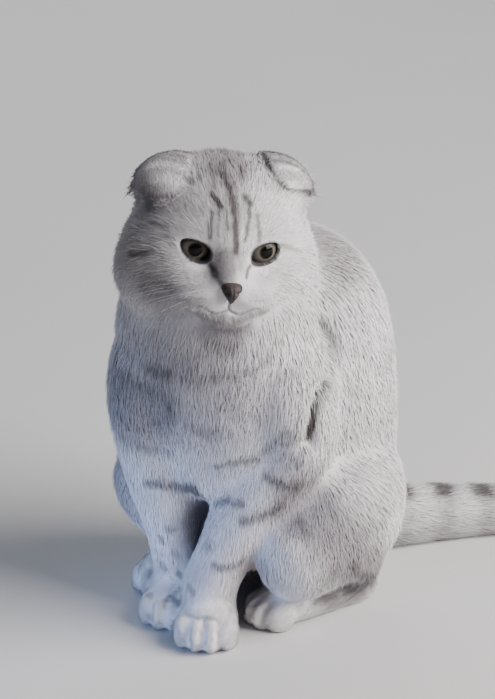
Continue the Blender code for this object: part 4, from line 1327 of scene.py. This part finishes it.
def tuft_roots(skin, table, count, draw):
    """Where tufts grow: place, normal, lie, unwrap place and region shares of each."""
    points, faces = skin["points"], skin["faces"]
    corner = points[faces]
    across, along = corner[:, 1] - corner[:, 0], corner[:, 2] - corner[:, 0]
    area = 0.5 * np.linalg.norm(np.cross(across, along), axis=1)
    thick = by_region(skin["shares"], table, 2)[faces].mean(axis=1)
    chance = area * thick * (corner[:, :, 2].max(axis=1) > 0.0015)
    total = np.cumsum(chance / chance.sum())
    spots = (np.arange(count) + draw.uniform(size=count)) / count
    chosen = np.minimum(np.searchsorted(total, spots), len(faces) - 1)
    one, two = draw.uniform(size=count), draw.uniform(size=count)
    fold = one + two > 1
    one, two = np.where(fold, 1 - one, one), np.where(fold, 1 - two, two)
    share = np.column_stack((1 - one - two, one, two))
    pick = faces[chosen]

    def mixed(values):
        return (values[pick] * share[:, :, None]).sum(axis=1)

    root = mixed(points)
    keep = bare_distance(root) > 0
    made = {
        "root": root,
        "normal": unit(mixed(skin["normals"])),
        "lie": unit(mixed(skin["flow"])),
        "place": (skin["places"][chosen] * share[:, :, None]).sum(axis=1),
    }
    made = {name: value[keep] for name, value in made.items()}
    made["shares"] = {
        name: (value[pick] * share).sum(axis=1)[keep] for name, value in skin["shares"].items()
    }
    return made


def bare_distance(points):
    """More than 0 where tufts may grow: clear of the lids' edges, the mouth's lines and the nose."""
    own = to_head(points)
    clear = mouth_distance(own) - 0.0009
    for _, side in SIDES:
        close, spots = in_front_of_eye(points, side, 0, NEAR_EYE)
        away = almond_distance(spots[:, [0, 2]], side)[0]
        clear[close] = np.minimum(clear[close], away - 0.0008)
    nose = np.linalg.norm((own - np.array(NOSE_CENTRE)) / np.array(NOSE_RADII), axis=1)
    return np.minimum(clear, nose - 1.02)


# The triangles of one tuft: its root's three corners, where it bends three more, then the tip
STRAIGHT_FACES = ((0, 2, 1), (0, 1, 3), (1, 2, 3), (2, 0, 3))
BENT_FACES = (
    (0, 2, 1), (0, 1, 4), (0, 4, 3), (1, 2, 5), (1, 5, 4),
    (2, 0, 3), (2, 3, 5), (3, 4, 6), (4, 5, 6), (5, 3, 6),
)


def layer_of_tufts(skin, table, count, bent, draw):
    """Closed, three-sided, tapered tufts: their points, soft normals, colours and unwrap places."""
    made = tuft_roots(skin, table, count, draw)
    root, normal, lie, shares = made["root"], made["normal"], made["lie"], made["shares"]
    count = len(root)
    length = by_region(shares, table, 0) * draw.uniform(*TUFT_LENGTHS, count)
    width = by_region(shares, table, 1) * draw.uniform(*TUFT_WIDTHS, count)
    steep = np.radians(by_region(shares, table, 3) + draw.normal(0, LEAN_JITTER, count))
    flat = np.radians(by_region(shares, table, 4) + draw.normal(0, BEND_JITTER, count)) if bent else steep
    sideways = np.cross(normal, lie)
    swing = draw.normal(0, SWING, count) + SWIRL * ripple(root, SWIRL_SIZE, 21)
    lie = unit(lie * np.cos(swing)[:, None] + sideways * np.sin(swing)[:, None])
    across = np.cross(normal, lie)

    def way(angle):
        return lie * np.cos(angle)[:, None] + normal * np.sin(angle)[:, None]

    upper = normal * np.cos(steep)[:, None] - lie * np.sin(steep)[:, None]
    start = root - normal * ROOT_DEPTH
    middle = start + way(steep) * (length * BEND_PLACE)[:, None]
    tip = middle + way(flat) * (length * (1 - BEND_PLACE))[:, None]
    wide = across * width[:, None]
    high = upper * (width * 0.60)[:, None]
    base = [start - wide, start + wide, start + high]
    bend = [middle - wide * 0.85, middle + wide * 0.85, middle + high * 0.85]
    rings = np.stack(base + (bend if bent else []) + [tip], axis=1)
    rings[:, :, 2] = np.maximum(rings[:, :, 2], LOWEST_TUFT)
    soft = by_region(shares, SOFTNESS)[:, None]
    follow = unit(normal * 0.7 + upper * 0.3) * soft
    own = [-across * 0.9 + upper * 0.2, across * 0.9 + upper * 0.2, upper]
    if bent:
        own = own * 2
    own = own + [upper]
    light = np.stack([unit(follow + side * (1 - soft)) for side in own], axis=1)
    depth = by_region(shares, DEPTHS)[:, None]
    outer = root + normal * depth
    reach = lie * length[:, None]
    uneven = draw.normal(1.0, JITTER, count)[:, None, None]
    colour = np.clip(tuft_colours(outer, reach, bent) * uneven, 0, 0.92)
    return rings, light, colour, tuft_patches(made["place"], bent), shares["ear"] > EAR_PIECE


def tuft_colours(outer, reach, bent):
    """The coat's colour at each corner of the tufts, a little darker at the root than at the tip: painted
    shade deep in the coat and painted light at its top.
    """
    near_root = coat_colour(outer + reach * 0.30) * 0.95
    near_tip = coat_colour(outer + reach * 0.80) * 1.04
    between = [(near_root + near_tip) / 2] * 3 if bent else []
    return np.stack([near_root] * 3 + between + [near_tip], axis=1)


def tuft_patches(places, bent):
    """A small patch of the unwrap for each tuft, about the place where it grows."""
    along = np.array((0, 0, 0, 0.5, 0.5, 0.5, 1.0) if bent else (0, 0, 0, 1.0)) - 0.5
    beside = np.array((0, 1, 0.5, 0, 1, 0.5, 0.5) if bent else (0, 1, 0.5, 0.5)) - 0.5
    patch = places[:, None, :] + PATCH * np.stack((beside, along), axis=1)[None, :, :]
    return np.clip(patch, 0.0005, 0.9995)


def build_coat(skin, coat_material):
    """The coat as two layers of tufts over the skin, in pieces from the floor up."""
    arrays = skin_arrays(skin)
    draw = np.random.default_rng(COAT_SEED)
    pieces = []
    for title, table, count, bent in (
        ("under", UNDERCOAT, UNDER_TUFTS, False),
        ("guard", GUARD, GUARD_TUFTS, True),
    ):
        tufts = layer_of_tufts(arrays, table, count, bent, draw)
        faces = np.array(BENT_FACES if bent else STRAIGHT_FACES)
        on_ear = tufts[-1]
        for place, mask in (("body", ~on_ear), ("ears", on_ear)):
            order = np.nonzero(mask)[0]
            order = order[np.argsort(tufts[0][order, 0, 2], kind="stable")]
            each = PIECE_TRIANGLES // len(faces)
            for number, begin in enumerate(range(0, len(order), each)):
                name = f"coat_{title}_{place}_{number + 1}"
                chosen = [array[order[begin : begin + each]] for array in tufts[:-1]]
                pieces.append(coat_piece(name, chosen, faces, place == "body", coat_material))
    return pieces


def coat_piece(name, tufts, faces, soft, coat_material):
    """One mesh of tufts. Soft ones are shaded with the skin's normals, the others with their own."""
    rings, light, colour, patch = tufts
    count, corners = rings.shape[:2]
    triangles = (faces[None] + corners * np.arange(count)[:, None, None]).reshape(-1, 3)
    data = mesh_of(name, rings.reshape(-1, 3), triangles)
    set_colours(data, colour.reshape(-1, 3))
    layer = data.uv_layers.new(name="OFBake")
    spots = patch.reshape(-1, 2)[triangles.ravel()]
    layer.uv.foreach_set("vector", spots.astype(np.float32).ravel())
    data.polygons.foreach_set("use_smooth", np.full(len(triangles), soft))
    if soft:
        data.normals_split_custom_set_from_vertices(light.reshape(-1, 3))
    data.materials.append(coat_material)
    return show(name, data)


# Eyes, nose and whiskers


def build_eye(side, name):
    """An eyeball with a slightly bulging cornea, its rings set by the angle from the gaze line."""
    mesh = bmesh.new()
    bmesh.ops.create_uvsphere(mesh, u_segments=96, v_segments=64, radius=EYE_RADIUS)
    mesh.transform(Matrix.Rotation(math.radians(90), 4, "X"))
    gaze = GAZE[side].normalized()
    aim = Vector((0, -1, 0)).rotation_difference(gaze).to_matrix().to_4x4()
    points = []
    for vertex in mesh.verts:
        away = math.hypot(vertex.co.x, vertex.co.z) / EYE_RADIUS
        points.append((vertex.co.x / EYE_RADIUS, away if vertex.co.y < 0 else 1.2, vertex.co.z / EYE_RADIUS))
        if vertex.co.y < 0:
            vertex.co *= 1 + 0.035 * max(0, 1 - (away / 0.72) ** 2)
    mesh.transform(eye_place(side) @ aim)
    obj = smooth_object(name, mesh)
    ring = obj.data.attributes.new("ring_place", "FLOAT_VECTOR", "POINT")
    ring.data.foreach_set("vector", np.array(points, np.float32).ravel())
    return obj


def tube(mesh, points, radii, around, closed=False):
    """A tube through points, with a radius at each."""
    spots = [Vector(point) for point in points]
    last = len(spots) - 1
    rings = []
    for i, spot in enumerate(spots):
        if closed:
            ahead = spots[(i + 1) % len(spots)] - spots[i - 1]
        else:
            ahead = spots[min(i + 1, last)] - spots[max(i - 1, 0)]
        ahead.normalize()
        across = ahead.cross(Vector((0.31, 0.22, 0.93))).normalized()
        rings.append(add_ring(mesh, spot, across, ahead.cross(across), radii[i], radii[i], around))
    stitch(mesh, rings, closed)


def build_lid_margins():
    """The dark, bare edges of the lids, lying on the eyeballs."""
    mesh = bmesh.new()
    for _, side in SIDES:
        place = eye_place(side)
        points, radii = [], []
        for across, up in almond(side, 72):
            reach = EYE_RADIUS + MARGIN_PROUD
            deep = -math.sqrt(max(reach**2 - across**2 - up**2, 1e-9))
            points.append(place @ Vector((across, deep, up)))
            inner = max(0, -side * across / (EYE_WIDTH / 2))
            above = max(0, up / LID_RISE)
            radii.append(0.00074 + 0.00040 * inner**2 + 0.00030 * min(above, 1))
        tube(mesh, points, radii, 8, True)
    bmesh.ops.recalc_face_normals(mesh, faces=mesh.faces)
    return smooth_object("lid_margins", mesh)


def build_nose():
    """The nose leather: broad above and narrow below, with two comma-shaped nostrils."""
    place = head_place()
    mesh = bmesh.new()
    bmesh.ops.create_icosphere(mesh, subdivisions=5, radius=1)
    for vertex in mesh.verts:
        x, y, z = vertex.co
        taper = 0.60 + 0.44 * z if z < 0 else 0.60 + 0.36 * z
        flat_top = z if z < 0 else z * 0.80
        spot = Vector((x * taper * NOSE_RADII[0], y * NOSE_RADII[1], flat_top * NOSE_RADII[2]))
        if y < 0.2:
            for _, side in SIDES:
                dx = (spot.x - side * 0.0040) / 0.0017
                dz = (spot.z + 0.0002 + side * dx * 0.0004) / 0.0011
                spot.y += 0.0026 * math.exp(-(dx**2 + dz**2) ** 1.5)
            spot.y += 0.0005 * math.exp(-((spot.x / 0.0006) ** 2)) * (1 if spot.z < 0.002 else 0.4)
        vertex.co = place @ (NOSE_CENTRE + spot)
    return smooth_object("nose_leather", mesh)


def add_hair(mesh, root, way, reach, sag, steps, thick, taper):
    """A hair in the head's axes, from its root along a way, sagging and thinner to its tip."""
    points, radii = [], []
    for i in range(steps + 1):
        t = i / steps
        points.append(head_place() @ (root + way * reach * t + sag * t**2))
        radii.append(thick * (1 - taper * t))
    tube(mesh, points, radii, 5)


def build_whiskers():
    """Long white whiskers in rows on the pads, and a few over each eye."""
    mesh = bmesh.new()
    draw = np.random.default_rng(WHISKER_SEED)
    for _, side in SIDES:
        for row in range(3):
            # The lowest row has one whisker fewer
            for column in range(4 - (row == 2)):
                out = 0.0120 + 0.0042 * column + 0.0010 * row
                high = -0.0215 - 0.0036 * row + 0.0010 * column
                root = Vector((side * out, -0.0570 + 0.0028 * column + 0.0006 * row, high))
                way = Vector((side * (1.0 + 0.10 * column), -0.12 + 0.20 * column, 0.02 - 0.14 * row))
                way = (way + Vector(draw.normal(0, 0.13, 3))).normalized()
                reach = 0.027 + 0.0066 * column + draw.uniform(-0.006, 0.004) - 0.003 * row
                sag = Vector((0, 0.30 * reach, -0.26 * reach))
                add_hair(mesh, root, way, reach, sag, 8, 0.00013, 0.75)
        for k in range(4):
            root = Vector((side * (0.0150 + 0.0028 * k), -0.0480 + 0.0008 * k, 0.0120 + 0.0008 * k))
            way = Vector((side * (0.15 + 0.22 * k), -0.55, 0.80)).normalized()
            add_hair(mesh, root, way, 0.017 + 0.002 * k, Vector((0, 0.010, 0)), 6, 0.00010, 0.7)
    bmesh.ops.recalc_face_normals(mesh, faces=mesh.faces)
    return smooth_object("whiskers", mesh)


# Materials


def new_material(name):
    made = bpy.data.materials.new(name)
    made.use_nodes = True
    return made, made.node_tree, made.node_tree.nodes["Principled BSDF"]


def set_inputs(tree, node, values):
    """Sets a node's inputs, each to a plain value or to the output that feeds it."""
    for name, value in values.items():
        if isinstance(value, bpy.types.NodeSocket):
            tree.links.new(value, node.inputs[name])
        else:
            node.inputs[name].default_value = value


def add_node(tree, kind, inputs, **options):
    """A new shader node with its inputs set; gives its outputs."""
    made = tree.nodes.new("ShaderNode" + kind)
    for name, value in options.items():
        setattr(made, name, value)
    set_inputs(tree, made, inputs)
    return made.outputs


def add_noise(tree, vector, scale, detail):
    return add_node(tree, "TexNoise", {"Vector": vector, "Scale": scale, "Detail": detail})["Fac"]


def add_range(tree, source, low, high):
    """Maps 0 to 1 onto low to high."""
    return add_node(tree, "MapRange", {"Value": source, "To Min": low, "To Max": high})["Result"]


def add_ramp(tree, factor, stops):
    """A colour that runs through stops of (place, colour) as the factor rises."""
    made = tree.nodes.new("ShaderNodeValToRGB")
    elements = made.color_ramp.elements
    for place, _ in stops[1:-1]:
        elements.new(place)
    for element, (place, colour) in zip(elements, stops):
        element.position = place
        element.color = (*colour, 1)
    tree.links.new(factor, made.inputs["Fac"])
    return made.outputs["Color"]


def add_product(tree, colour, level):
    """A colour made lighter or darker by a level."""
    made = tree.nodes.new("ShaderNodeVectorMath")
    made.operation = "SCALE"
    tree.links.new(colour, made.inputs[0])
    tree.links.new(level, made.inputs["Scale"])
    return made.outputs["Vector"]


def add_bump(tree, height, strength, distance):
    return add_node(tree, "Bump", {"Height": height, "Strength": strength, "Distance": distance})["Normal"]


def object_place(tree):
    return tree.nodes.new("ShaderNodeTexCoord").outputs["Object"]


def coat_finish(name, bump_scale, bump_height):
    """Coat colour from the mesh, uneven in tone, with fine relief."""
    made, tree, shader = new_material(name)
    where = object_place(tree)
    tint = add_node(tree, "Attribute", {}, attribute_name="coat_colour")["Color"]
    noise = add_noise(tree, where, COAT_CLOUDS, 4)
    fine = add_noise(tree, where, bump_scale, 3)
    finish = {
        "Base Color": add_product(tree, tint, add_range(tree, noise, *COAT_TONES)),
        "Roughness": add_range(tree, noise, *COAT_ROUGHNESS),
        "Specular IOR Level": 0.30,
        "Sheen Weight": 0.25,
        "Sheen Roughness": 0.45,
        "Normal": add_bump(tree, fine, 0.5, bump_height),
    }
    set_inputs(tree, shader, finish)
    return made


def eye_finish():
    """Black pupil, greyish hazel iris with fibres and a dark rim, under a wet surface, painted darker
    towards the top as shade under the upper lid and lighter towards the bottom as painted light.
    """
    made, tree, shader = new_material("eye_gloss")
    place = add_node(tree, "Attribute", {}, attribute_name="ring_place")["Vector"]
    parts = add_node(tree, "SeparateXYZ", {"Vector": place})
    flat = add_node(tree, "CombineXYZ", {"X": parts["X"], "Y": parts["Z"]})["Vector"]
    turn = add_node(tree, "VectorMath", {0: flat}, operation="NORMALIZE")["Vector"]
    fibres = add_noise(tree, turn, 9, 4)
    blotch = add_noise(tree, place, 4, 3)
    ragged = add_node(tree, "Math", {0: fibres, 1: 0.05, 2: parts["Y"]}, operation="MULTIPLY_ADD")
    stops = (
        (0.0, (0.002, 0.002, 0.002)),
        (PUPIL_SINE, (0.003, 0.003, 0.003)),
        (PUPIL_SINE + 0.05, (0.046, 0.040, 0.030)),
        (PUPIL_SINE + 0.13, (0.165, 0.150, 0.118)),
        (0.68, (0.145, 0.136, 0.112)),
        (IRIS_SINE, (0.046, 0.042, 0.036)),
        (IRIS_SINE + 0.07, (0.010, 0.008, 0.007)),
    )
    rings = add_ramp(tree, ragged["Value"], stops)
    # Painted shade towards the top of the eye under the upper lid, and painted light towards the bottom
    painted_lid_shade = {"Value": parts["Z"], "From Min": -0.25, "From Max": 0.60, "To Min": 1.25, "To Max": 0.45}
    shade = add_node(tree, "MapRange", painted_lid_shade)["Result"]
    level = add_node(tree, "Math", {0: add_range(tree, blotch, 0.75, 1.2), 1: shade}, operation="MULTIPLY")
    finish = {
        "Base Color": add_product(tree, rings, level["Value"]),
        "Roughness": add_range(tree, blotch, 0.16, 0.30),
        "Specular IOR Level": 0.0,
        "Coat Weight": 0.45,
        "Coat Roughness": 0.04,
        "Coat IOR": 1.38,
    }
    set_inputs(tree, shader, finish)
    return made


def leather_finish(name, tones, roughness, scale, height):
    """Bare, pebbled skin between two tones."""
    made, tree, shader = new_material(name)
    where = object_place(tree)
    noise = add_noise(tree, where, 260, 4)
    cells = add_node(tree, "TexVoronoi", {"Vector": where, "Scale": scale})["Distance"]
    finish = {
        "Base Color": add_ramp(tree, noise, tuple(zip((0.35, 0.68), tones))),
        "Roughness": add_range(tree, noise, roughness, roughness + 0.2),
        "Normal": add_bump(tree, cells, 0.6, height),
    }
    set_inputs(tree, shader, finish)
    return made


def floor_finish():
    made, tree, shader = new_material("pale_floor")
    noise = add_noise(tree, object_place(tree), 3, 5)
    finish = {
        "Base Color": add_ramp(tree, noise, tuple(zip((0.0, 1.0), FLOOR_TONES))),
        "Roughness": add_range(tree, noise, 0.7, 0.85),
    }
    set_inputs(tree, shader, finish)
    return made


# The stage


def build_lights():
    """A broad key from the right, a weak fill from behind, and cold window light low on the legs."""
    world = bpy.data.worlds.new("studio")
    world.use_nodes = True
    sky = {"Color": SKY, "Strength": SKY_STRENGTH}
    set_inputs(world.node_tree, world.node_tree.nodes["Background"], sky)
    bpy.context.scene.world = world
    for name, (place, aim, power, size, colour, cone) in LAMPS.items():
        lamp = bpy.data.lights.new(name, "AREA")
        lamp.energy = power
        lamp.size = size
        lamp.color = colour
        lamp.spread = math.radians(cone)
        obj = show(name, lamp)
        obj.location = place
        obj.rotation_euler = (Vector(aim) - Vector(place)).to_track_quat("-Z", "Y").to_euler()


def build_camera(shift):
    camera = bpy.data.cameras.new("camera")
    camera.lens = CAMERA_LENS
    camera.sensor_width = CAMERA_SENSOR
    obj = show("camera", camera)
    level = math.cos(CAMERA_RISE)
    back = Vector((math.sin(CAMERA_TURN) * level, -math.cos(CAMERA_TURN) * level, math.sin(CAMERA_RISE)))
    obj.location = CAMERA_AIM + shift + back * CAMERA_REACH
    obj.rotation_euler = (-back).to_track_quat("-Z", "Y").to_euler()
    bpy.context.scene.camera = obj


def build_stage(shift):
    mesh = bmesh.new()
    bmesh.ops.create_grid(mesh, x_segments=2, y_segments=2, size=FLOOR_HALF)
    floor = object_of("floor", mesh)
    floor.data.materials.append(floor_finish())
    build_lights()
    build_camera(shift)


def middle_of(node):
    low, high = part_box(node)
    return (low + high) / 2


def build_trim():
    """The nose leather, the lids' edges and the whiskers, each with its material."""
    nose = build_nose()
    nose.data.materials.append(leather_finish("nose_skin", NOSE_TONES, 0.55, 900, 0.0003))
    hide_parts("nose")
    margins = build_lid_margins()
    margins.data.materials.append(leather_finish("lid_skin", LID_TONES, 0.28, 1200, 0.0002))
    whiskers = build_whiskers()
    whiskers.data.materials.append(leather_finish("whisker_hair", WHISKER_TONES, 0.35, 800, 0.0001))
    return [nose, margins, whiskers]


def main():
    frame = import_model()
    shift = middle_of("eye_left") - head_place() @ Vector((EYE_SPACING, EYE_DEPTH, 0))
    skin = fused_skin()
    finish_skin(skin)
    coat = coat_finish("coat_fur", 900, 0.0004)
    skin.data.materials.append(coat_finish("skin_fur", 700, 0.0006))
    pieces = [skin, *build_coat(skin, coat)]
    eye = eye_finish()
    for name, side in SIDES:
        ball = build_eye(side, f"eyeball_{name}")
        ball.data.materials.append(eye)
        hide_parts(f"eye_{name}")
        pieces.append(ball)
    pieces += build_trim()
    flesh = [n for n in frame["nodes"] if n.split("_")[0] not in ("eye", "nose")]
    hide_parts(*flesh)
    for piece in pieces:
        piece.data.transform(Matrix.Translation(shift))
        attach(piece, "root")
    build_stage(shift)


main()
